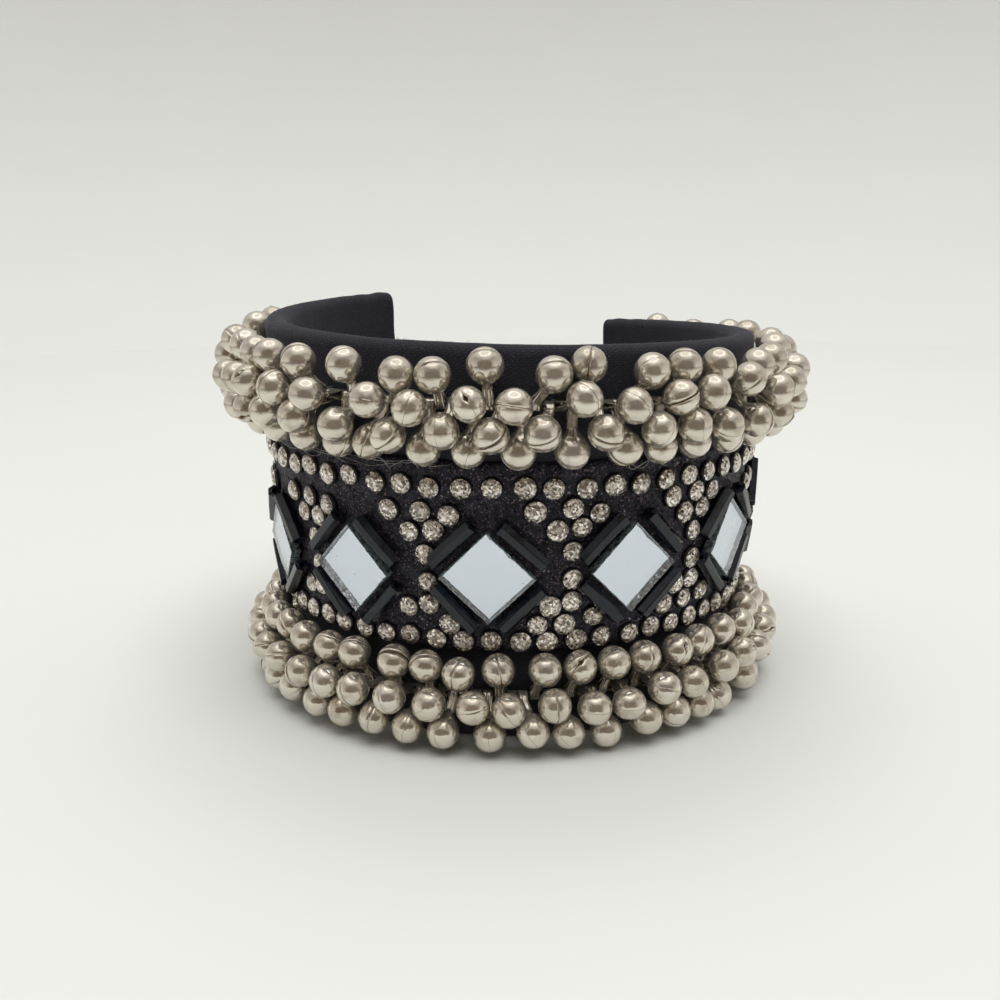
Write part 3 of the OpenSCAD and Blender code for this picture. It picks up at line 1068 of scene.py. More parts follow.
@dataclass
class GlitterPanel:
    """The strip of glitter and glue round the middle of the cuff, with grains of glitter standing in it."""

    form: CuffForm
    low: float = 11.9
    high: float = 35.0
    back: float = 0.1
    thick: float = 0.8
    stop: float = 3.0  # degrees from its ends to the arms' tips
    columns: int = 420
    rows: int = 56
    edge_sharp: float = 40.0  # the edge is round over one part in this many of the panel's height
    edge_thick: float = 0.35  # share of the panel's thickness that its edge has
    grain_count: int = 13000
    grain_size: Pair = (0.1, 0.2)  # least and largest radius
    grain_tilt: float = 0.35
    grain_proud: float = 0.04  # how far its face stands over the crust
    grain_deep: float = 0.14  # and how far down its point is
    grain_sunk: float = 0.02
    grain_gap: Pair = (0.3, 0.4)  # from the panel's ends in degrees, and from its long edges
    seed: int = 41

    @property
    def face(self) -> float:
        """How far out the panel's face is."""
        return self.back + self.thick

    def bumps(self, points: Array) -> Array:
        """How far the crust stands proud of the panel's plain face at each point."""
        return wander(points, height=0.07, size=1.9, seed=4) + wander(points, height=0.05, size=0.75, seed=5)

    def build_ground(self, crust: Finish) -> Object:
        """Makes the panel's crust.

        Args:
            crust: its finish.

        Returns:
            The piece.
        """
        angles = np.linspace(self.form.left_end + self.stop, self.form.right_end - self.stop, self.columns)
        ragged = wander(np.stack([angles, angles * 0, angles * 0], 1), height=0.22, size=3, seed=6)
        heights = np.linspace(self.low, self.high, self.rows)
        share = (heights - self.low) / (self.high - self.low)
        from_edge = np.minimum(np.minimum(share, 1 - share) * self.edge_sharp, 1)
        rounding = np.sqrt(1 - (1 - from_edge) ** 2)
        thick = self.thick * (self.edge_thick + (1 - self.edge_thick) * rounding)
        count = self.rows + 2
        out = np.tile(np.concatenate([self.back + thick, [self.back, self.back]]), self.columns)
        z = np.tile(np.concatenate([heights, [self.high, self.low]]), self.columns)
        share = np.tile(np.concatenate([share, [1, 0]]), self.columns)
        angle = np.repeat(angles, count)
        strays = z + np.repeat(ragged, count) * np.where(share > 0.5, share**6, -((1 - share) ** 6))
        lift = self.bumps(self.form.at(angle, strays, out)) * (out > self.back)
        points = self.form.at(angle, strays, out + lift)
        last = (self.columns - 1) * count
        ends = [list(range(count)), list(range(last + count - 1, last - 1, -1))]
        plan = MeshPlan()
        plan.add(points, grid_faces(self.columns, count)[:, ::-1].tolist() + ends)
        return plan.make("glitter_ground", [crust], Slot.PANEL, ["glitter_panel"])

    def build_grains(self, coat: Finish) -> Object:
        """Scatters grains of glitter over the panel, each a small closed splinter half sunk in the crust.

        Args:
            coat: their finish.

        Returns:
            The piece.
        """
        draw = np.random.default_rng(self.seed)
        count = self.grain_count
        end_gap, edge_gap = self.stop + self.grain_gap[0], self.grain_gap[1]
        angle = draw.uniform(self.form.left_end + end_gap, self.form.right_end - end_gap, count)
        z = draw.uniform(self.low + edge_gap, self.high - edge_gap, count)
        out, right, up = self.form.axes(angle, z)
        seat = self.form.at(angle, z, self.face - self.grain_sunk)
        seat = seat + self.bumps(seat)[:, None] * out
        size = draw.uniform(*self.grain_size, count)[:, None]
        tilt = draw.normal(0, self.grain_tilt, (count, 2))
        facing = unit(out + tilt[:, :1] * right + tilt[:, 1:] * up)
        turn = draw.uniform(0, 2 * np.pi, count)[:, None]
        side = unit(np.cross(facing, np.cos(turn) * right + np.sin(turn) * up))
        middle, tip = seat + self.grain_proud * facing, seat - self.grain_deep * facing
        points, faces = spikes(middle, size, side, np.cross(facing, side), tip)
        plan = MeshPlan()
        plan.add(points, faces[:, ::-1], flat=True, tone=np.repeat(draw.uniform(0, 1, count), 4))
        return plan.make("glitter_grains", [coat], Slot.PANEL)


def islands(node: Object) -> list[Array]:
    """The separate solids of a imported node.

    Args:
        node: the node's object.

    Returns:
        Each solid's points in millimetres, in the order that they come in the mesh.
    """
    mesh = node.data
    where = np.empty(len(mesh.vertices) * 3, np.float32)
    mesh.vertices.foreach_get("co", where)
    where = where.reshape(-1, 3)
    mesh.calc_loop_triangles()
    corners = np.empty(len(mesh.loop_triangles) * 3, np.int32)
    mesh.loop_triangles.foreach_get("vertices", corners)
    microns = np.round(where / (METRES * METRES)).astype(np.int64)
    _, same = np.unique(microns, axis=0, return_inverse=True)
    faces = same.ravel()[corners].reshape(-1, 3)
    label = np.arange(same.max() + 1)
    while True:
        lowest = label.copy()
        np.minimum.at(lowest, faces.ravel(), np.repeat(label[faces].min(1), 3))
        lowest = lowest[lowest]
        if (lowest == label).all():
            break
        label = lowest
    owner = label[same.ravel()]
    least = 8  # corners; less than that is a sliver and no solid
    return [where[owner == i] / METRES for i in np.unique(owner) if (owner == i).sum() >= least]


@dataclass
class BellShape:
    """One stamped bell: two half shells closed on each other, a neck drawn out of them, and a strip loop."""

    ball_r: float = 2.05
    reach: float = 5.1  # from the thread to the ball's middle
    seam_half: float = 0.028
    seam_deep: float = 0.06
    seams: tuple[float, ...] = (0.0, 0.0, 0.15, 0.5, 1.0)  # how open a seam may be; each is as likely
    burrs: tuple[float, ...] = (0.0, 0.0, 0.07, 0.14)  # how far a burr may stand out of its lip
    gape: float = 0.015  # angle in radians past which the shells have come apart
    hinge: float = 2.5  # from the ball's middle to where the shells turn apart
    close_to: float = 42.0  # degrees from the tip up to which the columns stand close together
    neck_from: float = 142.0  # and from which they do again
    shell_rows: tuple[float, ...] = (10, 20, 31, 43, 56, 72)  # degrees out of the seam's plane
    funnel_angle: float = 42.0  # degrees from the neck's axis at which the ball starts to draw out
    # The neck's outline: share of funnel_angle, distance from the ball's middle, and radius
    neck: tuple[tuple[float, float, float], ...] = (
        (0, 3.05, 0), (0.1, 2.98, 0.4), (0.3, 2.66, 0.52), (0.5, 2.28, 0.7),
        (0.7, 1.93, 0.98), (0.85, 1.7, 1.19), (1, 1.523, 1.372),
    )
    strip_w: float = 1.2
    strip_t: float = 0.2
    eye_r: float = 0.53
    # One leg of the loop, from its end in the bell up to the eye: distance from the thread, and to the side
    leg: tuple[Pair, ...] = ((2.7, 0.12), (2.2, 0.15), (1.6, 0.22), (1.1, 0.34), (0.6, 0.48))
    # The strip's section, rounded and with a groove: shares of half its width and of half its thickness
    strip_section: tuple[Pair, ...] = (
        (-1, 0), (-0.86, 1), (-0.22, 1), (0, 0.3), (0.22, 1), (0.86, 1), (1, 0), (0.8, -1), (-0.8, -1),
    )

    def columns(self) -> Array:
        """Angles round the seam, closer together at the tip and the neck.

        Returns:
            The angles, from the tip opposite the loop.
        """
        tip = np.linspace(-self.close_to, self.close_to, 15)
        side = np.linspace(self.close_to, self.neck_from, 10)[1:-1]
        neck = np.linspace(self.neck_from, 360 - self.neck_from, 11)
        return np.radians(np.concatenate([tip, side, neck, 360 - side[::-1]]))

    def rows(self) -> Array:
        """Angles out of the seam's plane, from one shell's middle to the other's, in radians."""
        lip, shell = self.seam_half / self.ball_r, np.radians(self.shell_rows)
        return np.concatenate([-shell[::-1], [-lip, -lip / 2, lip / 2, lip], shell])

    def funnel(self, points: Array) -> Array:
        """Draws the part of the ball round the loop out into a neck.

        Args:
            points: points of the ball round its own middle, the neck's side towards -X.

        Returns:
            The points with the neck drawn out.
        """
        out = np.linalg.norm(points[:, 1:], axis=1)
        share = np.arctan2(out, -points[:, 0]) / math.radians(self.funnel_angle)
        shares, reaches, widths = np.array(self.neck).T
        inside = share < 1
        drawn = points.copy()
        drawn[inside, 0] = -np.interp(share[inside], shares, reaches)
        scale = np.interp(share[inside], shares, widths) / np.maximum(out[inside], 1e-6)
        drawn[inside, 1:] *= scale[:, None]
        return drawn

    def swing(self, points: Array, turn: Array) -> Array:
        """Turns points about the hinge at the neck, each by its own angle in radians."""
        (x, y, z), cos, sin = points.T + [[self.hinge], [0], [0]], np.cos(turn), np.sin(turn)
        return np.stack([x * cos - y * sin - self.hinge, x * sin + y * cos, z], 1)

    def faces(self) -> tuple[Faces, list[int]]:
        """Faces of the shells.

        Returns:
            The faces and, for each, 1 where it is the bottom of the seam and 0 elsewhere.
        """
        rows, columns = len(self.rows()), len(self.columns())
        sheet = grid_faces(rows, columns).tolist()
        bottom = rows // 2 - 1
        dark = [int(i // columns == bottom) for i in range(len(sheet))]
        low, high = rows * columns, rows * columns + 1
        last = (rows - 1) * columns
        fans = [[(i + 1) % columns, i, low] for i in range(columns)]
        fans += [[last + i, last + (i + 1) % columns, high] for i in range(columns)]
        return sheet + fans, dark + [0] * len(fans)

    def shells(
        self, draw: np.random.Generator, open_by: float, keyhole: float | None
    ) -> tuple[Array, Array]:
        """The two half shells of one bell, with X from the loop to the tip and Y out of the seam's plane.

        Args:
            draw: source of the bell's own irregularities.
            open_by: angle in radians by which the shells gape, at most.
            keyhole: angle in radians round the seam at which it has a sound hole, or None for no hole.

        Returns:
            Points measured from the thread, and how soiled each is.
        """
        across, round_seam = np.meshgrid(self.rows(), self.columns(), indexing="ij")
        from_seam = np.abs(np.arange(len(across)) - (len(across) - 1) / 2)[:, None]
        is_floor, is_lip = from_seam < 1, (from_seam > 1) & (from_seam < 2)
        side = np.sign(across)
        loose = 1.0 if open_by > self.gape else draw.choice(self.seams)
        hole = 0.0 if keyhole is None else bump_round(round_seam, keyhole, wide=0.2)
        burr_at, burr = draw.uniform(-1.2, 1.2), draw.choice(self.burrs)
        ragged = (side > 0) * burr * bump_round(round_seam, burr_at, wide=0.12)
        sunk = is_floor * (self.seam_deep * loose + 0.55 * hole) + is_lip * (0.1 * hole - ragged)
        radius = self.ball_r - sunk
        x = radius * np.cos(across) * np.cos(round_seam)
        z = radius * np.cos(across) * np.sin(round_seam)
        y = radius * np.sin(across) + side * (is_lip * 0.3 + is_floor * 0.2) * hole
        poles = [[0, -self.ball_r, 0], [0, self.ball_r, 0]]
        points = np.concatenate([np.stack([x, y, z], -1).reshape(-1, 3), poles])
        half = np.concatenate([side.ravel(), [-1, 1]])
        for _ in range(3):
            way, phase = unit(draw.normal(size=3)), draw.uniform(0, 6.28)
            points *= 1 + 0.006 * np.sin(points @ way * 1.7 + phase)[:, None]
        points[:, 1] *= draw.uniform(0.94, 1.0)
        points = self.funnel(points)
        step = draw.normal(0, 0.035, 3) * [1, 0, 1] * loose
        points += (half > 0)[:, None] * step * eased(-3, -1, points[:, :1])
        points = self.swing(points, half * open_by * loose / 2)
        in_seam = (0.1 + 0.5 * loose) * np.exp(-np.abs(points[:, 1]) / 0.08)
        on_neck = 0.25 * eased(-1.3, -2.3, points[:, 0])
        return points + [self.reach, 0, 0], np.clip(in_seam + on_neck, 0, 1)

    def strip(self) -> tuple[Array, Faces]:
        """The strip loop in its own axes: X towards the bell, Y along the thread.

        Returns:
            Points measured from the thread, and faces.
        """
        turn = np.radians(np.linspace(90, 270, 9))
        bend = np.stack([self.eye_r * np.cos(turn), self.eye_r * np.sin(turn)], 1)
        leg = np.array(self.leg)
        path = np.concatenate([leg, bend, leg[::-1] * [1, -1]])
        along = unit(np.gradient(path, axis=0))
        away = np.stack([along[:, 1], -along[:, 0]], 1)
        ring = np.array(self.strip_section) * [self.strip_w / 2, self.strip_t / 2]
        points = [
            [middle[0] + lift * normal[0], y, middle[1] + lift * normal[1]]
            for middle, normal in zip(path, away)
            for y, lift in ring
        ]
        return np.array(points), tube_faces(len(path), len(ring))


@dataclass(frozen=True)
class StringFacts:
    """What sets one string of bells apart from the other."""

    side: str
    thread_z: float
    seed: int
    gaping: int  # bells whose shells have come apart a little
    pierced: int  # bells whose sound hole shows
    thread_out: float = 0.8


@dataclass
class BellString:
    """All the bells on one thread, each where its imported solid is."""

    form: CuffForm
    shape: BellShape
    facts: StringFacts
    wide_gape: Pair = (1.5, 4.0)  # degrees by which the shells of a gaping bell are apart
    slight_gape: Pair = (0.0, 0.5)  # and those of any other
    keyhole_reach: float = 0.6  # how far from the tip, in radians, a sound hole may lie

    @property
    def node(self) -> str:
        """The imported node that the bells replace."""
        return f"{self.facts.side}_bells"

    def poses(self, cad: Object) -> list[tuple[Array, Array, Array]]:
        """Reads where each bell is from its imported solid.

        Args:
            cad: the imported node.

        Returns:
            For each bell, where it hangs on the thread, the way to its ball, and the thread's direction.
        """
        r = self.shape.ball_r
        angles = np.linspace(self.form.left_end, self.form.right_end, 6001)
        thread = self.form.at(angles, self.facts.thread_z, self.facts.thread_out)
        found = []
        for points in islands(cad):
            middle = points.mean(0)
            axis = np.linalg.svd(points - middle, full_matrices=False)[2][0]
            reach = (points - middle) @ axis
            wide = np.linalg.norm(points - middle - np.outer(reach, axis), axis=1)
            if wide[reach > 0].max() < wide[reach < 0].max():
                axis, reach = -axis, -reach
            ball = middle + axis * (reach.max() - r)
            for slack in (0.3, 0.1, 0.03):  # millimetres off the ball that a point may be, less each time
                on_ball = points[np.abs(np.linalg.norm(points - ball, axis=1) - r) < slack]
                table = np.c_[2 * on_ball, np.ones(len(on_ball))]
                ball = np.linalg.lstsq(table, (on_ball**2).sum(1), rcond=None)[0][:3]
            loop = points[np.linalg.norm(points - ball, axis=1) > self.shape.reach - 0.2].mean(0)
            nearest = int(np.linalg.norm(thread - loop, axis=1).argmin())
            before, after = max(nearest - 1, 0), min(nearest + 1, len(thread) - 1)
            seat = thread[nearest]
            found.append((seat, unit(ball - seat), unit(thread[after] - thread[before])))
        return found

    def twist(self, draw: np.random.Generator) -> float:
        """Draws how far a bell's seam is turned from the thread's own plane, in radians.

        Args:
            draw: source of the bell's own irregularities.

        Returns:
            The angle.
        """
        kind, vary = draw.uniform(), draw.normal(0, math.radians(20))
        if kind < 0.45:
            return vary
        if kind < 0.8:
            return math.pi / 2 + vary
        return draw.uniform(-math.pi / 2, math.pi / 2)

    def build(self, cad: Object, plate: Finish, shadow: Finish) -> Object:
        """Makes the string's bells as one piece.

        Args:
            cad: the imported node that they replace.
            plate: the bells' finish.
            shadow: the finish inside their seams.

        Returns:
            The piece.
        """
        draw = np.random.default_rng(self.facts.seed)
        poses = self.poses(cad)
        shell_faces, dark = self.shape.faces()
        strip_points, strip_faces = self.shape.strip()
        chosen = draw.permutation(len(poses)).tolist()
        gaping = chosen[: self.facts.gaping]
        pierced = chosen[self.facts.gaping :][: self.facts.pierced]
        plan = MeshPlan()
        for i, (seat, aim, along) in enumerate(poses):
            open_by = math.radians(draw.uniform(*(self.wide_gape if i in gaping else self.slight_gape)))
            keyhole = draw.uniform(-self.keyhole_reach, self.keyhole_reach) if i in pierced else None
            ball, soil = self.shape.shells(draw, open_by, keyhole)
            side = unit(along - aim * (along @ aim))
            over = np.cross(aim, side)
            twist = self.twist(draw)
            turned = math.cos(twist) * side + math.sin(twist) * over
            upright = np.cross(aim, turned)
            tone = draw.uniform(0, 1)
            placed = seat + ball @ np.stack([aim, turned, upright])
            plan.add(placed, shell_faces, dark, soil=soil, tone=np.full(len(placed), tone))
            straight = unit(aim - along * (aim @ along))
            level = strip_points @ np.stack([straight, along, np.cross(straight, along)])
            bent = strip_points @ np.stack([aim, side, over])
            share = eased(0.8, 2.0, strip_points[:, :1])
            placed = seat + level * (1 - share) + bent * share
            worn = np.full(len(placed), 0.1)
            plan.add(placed, strip_faces, soil=worn, tone=np.full(len(placed), tone))
        return plan.make(f"{self.facts.side}_string_of_bells", [plate, shadow], Slot.BELL, [self.node])


@dataclass
class SewnThread:
    """The thread that a string of bells hangs on, with its stitches and a knot at each end."""

    form: CuffForm
    facts: StringFacts
    radius: float = 0.25
    ply_r: float = 0.14
    twist_pitch: float = 1.3
    twist_steps: int = 8
    stitch_every: int = 3
    stitch_r: float = 0.12
    stitch_half: float = 0.62  # from the thread's middle up to where a stitch goes in
    overrun: float = 2.0  # degrees that it runs on past the first and last bell
    knot_r: float = 0.17
    knot_half: float = 0.16  # a third of half the knot's width
    tail: float = 2.6

    def at(self, angle: Array) -> Array:
        """Points on the thread's middle line."""
        return self.form.at(angle, self.facts.thread_z, self.facts.thread_out)

    def ply(self, low: float, high: float, phase: float) -> Array:
        """The middle line of one ply.

        Args:
            low: angle at which it starts.
            high: angle at which it ends.
            phase: where it starts round the thread, in radians.

        Returns:
            Points along it.
        """
        angles, lengths = self.form.lengths(self.facts.thread_z, self.facts.thread_out)
        start, end = np.interp([low, high], angles, lengths)
        steps = np.linspace(start, end, int((end - start) / self.twist_pitch * self.twist_steps))
        angle = np.interp(steps, lengths, angles)
        turn = (steps / self.twist_pitch * 2 * np.pi + phase)[:, None]
        out, _, up = self.form.axes(angle, self.facts.thread_z)
        return self.at(angle) + self.radius / 2 * (np.cos(turn) * out + np.sin(turn) * up)

    def knot(self, angle: float) -> Array:
        """The middle line of an overhand knot with a short tail.

        Args:
            angle: where it sits.

        Returns:
            Points along it.
        """
        turn = np.linspace(0, 2 * np.pi, 44, endpoint=False)[:, None]
        where = np.array([angle])
        out, right, up = self.form.axes(where, self.facts.thread_z)
        bow = (np.sin(turn) + 2 * np.sin(2 * turn)) * right + (np.cos(turn) - 2 * np.cos(2 * turn)) * up
        trefoil = self.at(where) + self.knot_half * (bow - np.sin(3 * turn) * out)
        fall = np.linspace(0.1, 1, 12)[:, None]
        tail = trefoil[-1] + fall * (-self.tail * up + 0.5 * out) + 0.4 * np.sin(fall * 4) * right
        return np.concatenate([trefoil, tail])

    def stitch(self, angle: float) -> Array:
        """The middle line of one stitch over the thread, with both ends in the cover.

        Args:
            angle: where it crosses.

        Returns:
            Points along it.
        """
        turn = np.radians(np.linspace(-100, 100, 11))
        heights = self.facts.thread_z + self.stitch_half * np.sin(turn)
        outs = self.facts.thread_out * 0.35 + (self.radius + self.facts.thread_out * 0.75) * np.cos(turn)
        return self.form.at(np.full(len(turn), angle), heights, np.maximum(outs, -0.15))

    def build(self, loops: Sequence[Array], yarn: Finish) -> Object:
        """Makes the thread.

        Args:
            loops: where each bell hangs on it, from left to right.
            yarn: its finish.

        Returns:
            The piece.
        """
        angle = np.sort(self.form.angle_of(np.array(loops), self.facts.thread_z))
        low, high = angle[0] - self.overrun, angle[-1] + self.overrun
        plan = MeshPlan()
        for phase in (0, math.pi):
            plan.add_tube(self.ply(low, high, phase), self.ply_r)
        for end in (low, high):
            plan.add_tube(self.knot(end), self.knot_r)
        for first, second in zip(angle[:: self.stitch_every], angle[1 :: self.stitch_every]):
            plan.add_tube(self.stitch((first + second) / 2), self.stitch_r)
        name = f"{self.facts.side}_thread"
        return plan.make(f"{name}_sewn", [yarn], Slot.THREAD, [name])


@dataclass
class MirrorTile:
    """A square of mirror glass, scored and snapped by hand, set on its corner."""

    node: str
    seed: int
    turn: float = 0.0  # degrees against the clock, seen from outside, by which it sits askew
    chip: float = 0.02  # usual depth of the chips along its edges
    big_chip: float = 0.2
    arris: float = 0.07  # width of the blunted edge round its face
    back_arris: float = 0.06
    notches: int = 22  # points along each side

    def frame(self) -> tuple[Array, Array, float, float]:
        """Reads the tile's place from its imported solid.

        Returns:
            The middle of its face, its axes as rows (out, and along two sides), its side and its thickness.
        """
        corners = np.unique(np.round(islands(bpy.data.objects[self.node])[0], 4), axis=0)
        middle = corners.mean(0)
        out = np.linalg.svd(corners - middle, full_matrices=False)[2][2]
        outward = middle * [1, 1, 0]
        out = out if out @ outward > 0 else -out
        depth = (corners - middle) @ out
        face = corners[depth > depth.max() - 0.05]
        back = corners[depth < depth.min() + 0.05]
        centre = face.mean(0)
        gaps = np.linalg.norm(back - back[0], axis=1)
        neighbour = back[np.argsort(gaps)[1]]
        side = unit(neighbour - back[0])
        askew = math.radians(self.turn)
        side = math.cos(askew) * side + math.sin(askew) * np.cross(out, side)
        axes = np.stack([out, side, np.cross(out, side)])
        return centre, axes, float(np.sort(gaps)[1]), float(depth.max() - depth.min())

    def build(self, glass: Finish, edge: Finish, silver: Finish) -> Object:
        """Makes the tile: clear face, snapped sides and silvered back.

        Args:
            glass: finish of the face.
            edge: finish of the sides.
            silver: finish of the back.

        Returns:
            The piece.
        """
        draw = np.random.default_rng(self.seed)
        centre, axes, side, thick = self.frame()
        h = side / 2
        step = np.linspace(-h, h, self.notches, endpoint=False)
        full = np.full(self.notches, h)
        pairs = ((step, -full), (full, step), (-step, full), (-full, -step))
        outline = np.concatenate([np.stack(pair, 1) for pair in pairs])
        count = len(outline)
        inward = unit(np.where(np.abs(outline) > h - 1e-6, -np.sign(outline), 0).astype(float))
        nick = np.abs(draw.normal(0, self.chip, count))
        for _ in range(int(draw.integers(0, 3))):
            at = draw.integers(0, count)
            spread = draw.integers(1, 3)
            for k in range(-spread, spread + 1):
                fall = 1 - abs(k) / (spread + 1)
                nick[(at + k) % count] += self.big_chip * draw.uniform(0.4, 1) * fall
        insets = [nick + self.arris + np.abs(draw.normal(0, 0.03, count))]
        insets += [draw.uniform(0, most, count) for most in (0.05, 0.07)]
        insets.append(np.full(count, self.back_arris))
        deep = np.minimum(0.08 + nick * draw.uniform(0.5, 1.2, count), thick * 0.7)
        depths = [np.zeros(count), deep, np.full(count, thick * 0.86), np.full(count, thick)]
        placed = [outline + inward * inset[:, None] for inset in insets]
        rings = [np.column_stack([-depth, ring]) for depth, ring in zip(depths, placed)]
        points = centre + np.concatenate(rings) @ axes
        sides = grid_faces(4, count)[:, ::-1].tolist()
        faces = [*sides, list(range(count)), list(range(4 * count - 1, 3 * count - 1, -1))]
        plan = MeshPlan()
        plan.add(points, faces, [1] * len(sides) + [0, 2], flat=True)
        return plan.make(f"{self.node}_glass", [glass, edge, silver], Slot.MIRROR, [self.node])


@dataclass
class BugleFrame:
    """The four black glass beads glued round one mirror."""

    node: str
    form: CuffForm
    seed: int
    width: float = 1.85
    bore: float = 0.75
    length: float = 7.0
    roll: float = 12.0  # degrees by which a bead may be rolled off its flat
    bevel: float = 0.07  # radians from a corner of its section to the points on both sides of it
    blunted: float = 0.985  # share of its width that its blunt corners leave
    bored: float = 0.985  # share of its length that the bore's wall has
    rings: int = 12

    def bead(self, draw: np.random.Generator) -> tuple[Array, Faces]:
        """One bead in its own axes: X out from the cuff, Z along the bead.

        Args:
            draw: source of its irregularities.

        Returns:
            Its points and faces.
        """
        corners = np.radians(np.arange(30, 390, 60) + draw.uniform(-self.roll, self.roll))
        turn = np.stack([corners - self.bevel, corners + self.bevel], 1).ravel()
        circle = np.stack([np.cos(turn), np.sin(turn)], 1)
        steps = np.linspace(-1, 1, self.rings)
        swell = 1 + 0.012 * np.sin(steps * draw.uniform(2, 5) + draw.uniform(0, 6))
        bow = draw.normal(0, 0.03, 2)
        layers = [(self.width / 2 * self.blunted * k, s, s) for s, k in zip(steps, swell)]
        layers += [(self.bore / 2, s, s * self.bored) for s in steps[::-1]]
        walls = [
            np.column_stack([r * circle + bow * (1 - s * s), np.full(len(circle), z * self.length / 2)])
            for r, s, z in layers
        ]
        for end, way in ((0, 1), (self.rings - 1, -1)):
            walls[end][:, 2] += way * np.abs(draw.normal(0, 0.13, len(circle)))
        return np.concatenate(walls), ring_faces(len(walls), len(circle))

    def build(self, glass: Finish) -> Object:
        """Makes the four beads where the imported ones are.

        Args:
            glass: their finish.

        Returns:
            The piece.
        """
        draw = np.random.default_rng(self.seed)
        plan = MeshPlan()
        for solid in islands(bpy.data.objects[self.node]):
            along = np.linalg.svd(solid - solid.mean(0), full_matrices=False)[2][0]
            ends = (solid - solid.mean(0)) @ along
            middle = solid.mean(0) + along * (ends.max() + ends.min()) / 2
            out = self.form.axes(self.form.angle_of(middle[None], middle[2]), middle[2])[0][0]
            out = unit(out - along * (out @ along))
            points, faces = self.bead(draw)
            plan.add(middle + points @ np.stack([out, np.cross(along, out), along]), faces, flat=True)
        return plan.make(f"{self.node}_beads", [glass], Slot.BUGLE, [self.node])


@dataclass
class StoneField:
    """The panel's clear foil-backed stones: a row along each edge and a waisted cluster between mirrors."""

    form: CuffForm
    panel_face: float
    mirror_shift: float = -3.0
    mirror_pitch: float = 16.9
    mirror_z: float = 21.6
    mirror_climb: float = 0.5
    radius: float = 1.27
    pavilion: float = 0.42
    girdle: float = 0.05
    crown: float = 0.42
    scale: Pair = (0.93, 1.04)  # of the smallest stone and of the largest
    tilt: float = 0.05
    stands: float = 0.06  # how far a stone's tip is off the panel
    collar_sides: int = 14
    # The glue's section: distance from the girdle, and height over the panel's side or under the girdle's
    collar_low: tuple[Pair, ...] = ((0.01, 0.0), (0.16, 0.05))
    collar_high: tuple[Pair, ...] = ((0.08, -0.2), (0.03, -0.06), (0.01, -0.1))
    collar_deep: float = 0.2  # how far the glue reaches past the stone's tip
    # Each row's height, its spacing, and how far on its first stone is
    top_row: tuple[float, float, float] = (32.2, 3.55, 1.8)
    low_row: tuple[float, float, float] = (13.4, 3.3, 0.1)
    seed: int = 23
    # One cluster's stones: to the side of its middle, and height above the mirrors' middle line
    cluster: tuple[Pair, ...] = (
        (-3.8, 7.6), (0.2, 7.8), (3.6, 7.3),
        (-1.5, 5.3), (1.5, 5.5),
        (0.3, 2.6),
        (0.5, -0.9),
        (-2.0, -4.0), (0.6, -3.7),
        (-3.8, -6.3), (-0.4, -6.4), (3.0, -5.8),
    )
    askew: float = 0.8  # how far right of the middle between two mirrors a cluster lies
    clusters: int = 6  # how many are tried to each side of the front; those past the arms' ends fall away
    end_gap: float = 4.2  # degrees from the arms' tips to the nearest stone
    jitter: float = 0.11
    apart: float = 2.38  # least distance between two stones' middles

    def seats(self, draw: np.random.Generator) -> Array:
        """Where the stones sit.

        Args:
            draw: source of their jitter.

        Returns:
            Rows of length along the cuff, at the mirrors' height, and height.
        """
        angles, lengths = self.form.lengths(self.mirror_z, self.panel_face)
        ends = [self.form.left_end + self.end_gap, self.form.right_end - self.end_gap]
        low, high = np.interp(ends, angles, lengths)
        seats = []
        for z, pitch, first in (self.top_row, self.low_row):
            wider = self.form.half_w(z) / self.form.half_w(self.mirror_z)
            seats += [(s, z) for s in np.arange(low + first, high, pitch / wider)]
        for i in range(-self.clusters, self.clusters):
            middle = self.mirror_shift + (i + 0.5) * self.mirror_pitch + self.askew
            level = self.mirror_z + (i + 0.5) * self.mirror_climb
            seats += [(middle + side, level + up) for side, up in self.cluster if low < middle + side < high]
        spread = np.array(seats) + draw.normal(0, self.jitter, (len(seats), 2))
        kept: list[Array] = []
        for seat in spread:
            if all(np.linalg.norm(seat - other) > self.apart for other in kept):
                kept.append(seat)
        return np.array(kept)

    def gem(self) -> tuple[Array, Faces]:
        """One stone in its own axes, Z out of the table: brilliant crown over a cone.

        Returns:
            Points and faces.
        """
        r, top, deep = self.radius, self.crown, self.pavilion
        points = np.concatenate([
            level_ring(8, r * 0.5, self.girdle + top),
            level_ring(8, r * 0.78, self.girdle + top * 0.62, 0.5),
            level_ring(16, r, self.girdle),
            level_ring(16, r, 0),
            level_ring(8, r * 0.5, -deep * 0.62, 0.5),
            [[0, 0, -deep]],
        ])
        table, main, upper, lower, cone, tip = 0, 8, 16, 32, 48, 56
        faces = [list(range(8))]
        for i in range(8):
            after, before = (i + 1) % 8, (i - 1) % 8
            even, odd, on = upper + 2 * i, upper + 2 * i + 1, upper + (2 * i + 2) % 16
            faces += [[table + after, table + i, main + i], [table + i, main + before, even, main + i]]
            faces += [[main + i, even, odd], [main + i, odd, on]]
        faces += [[upper + i, lower + i, lower + (i + 1) % 16, upper + (i + 1) % 16] for i in range(16)]
        for i in range(8):
            after, odd, on = (i + 1) % 8, lower + 2 * i + 1, lower + (2 * i + 2) % 16
            faces += [[lower + 2 * i, cone + i, odd], [odd, cone + i, on], [on, cone + i, cone + after]]
            faces += [[cone + i, tip, cone + after]]
        return points, faces

    def collar(self) -> tuple[Array, Faces]:
        """The ring of glue that holds a stone, closed on itself, in the stone's axes.

        Returns:
            Points and faces.
        """
        low = -self.pavilion - self.collar_deep
        section = [(out, low + z) for out, z in self.collar_low] + list(self.collar_high)
        rings = [level_ring(self.collar_sides, self.radius + out, z) for out, z in section]
        return np.concatenate(rings), ring_faces(len(rings), self.collar_sides)

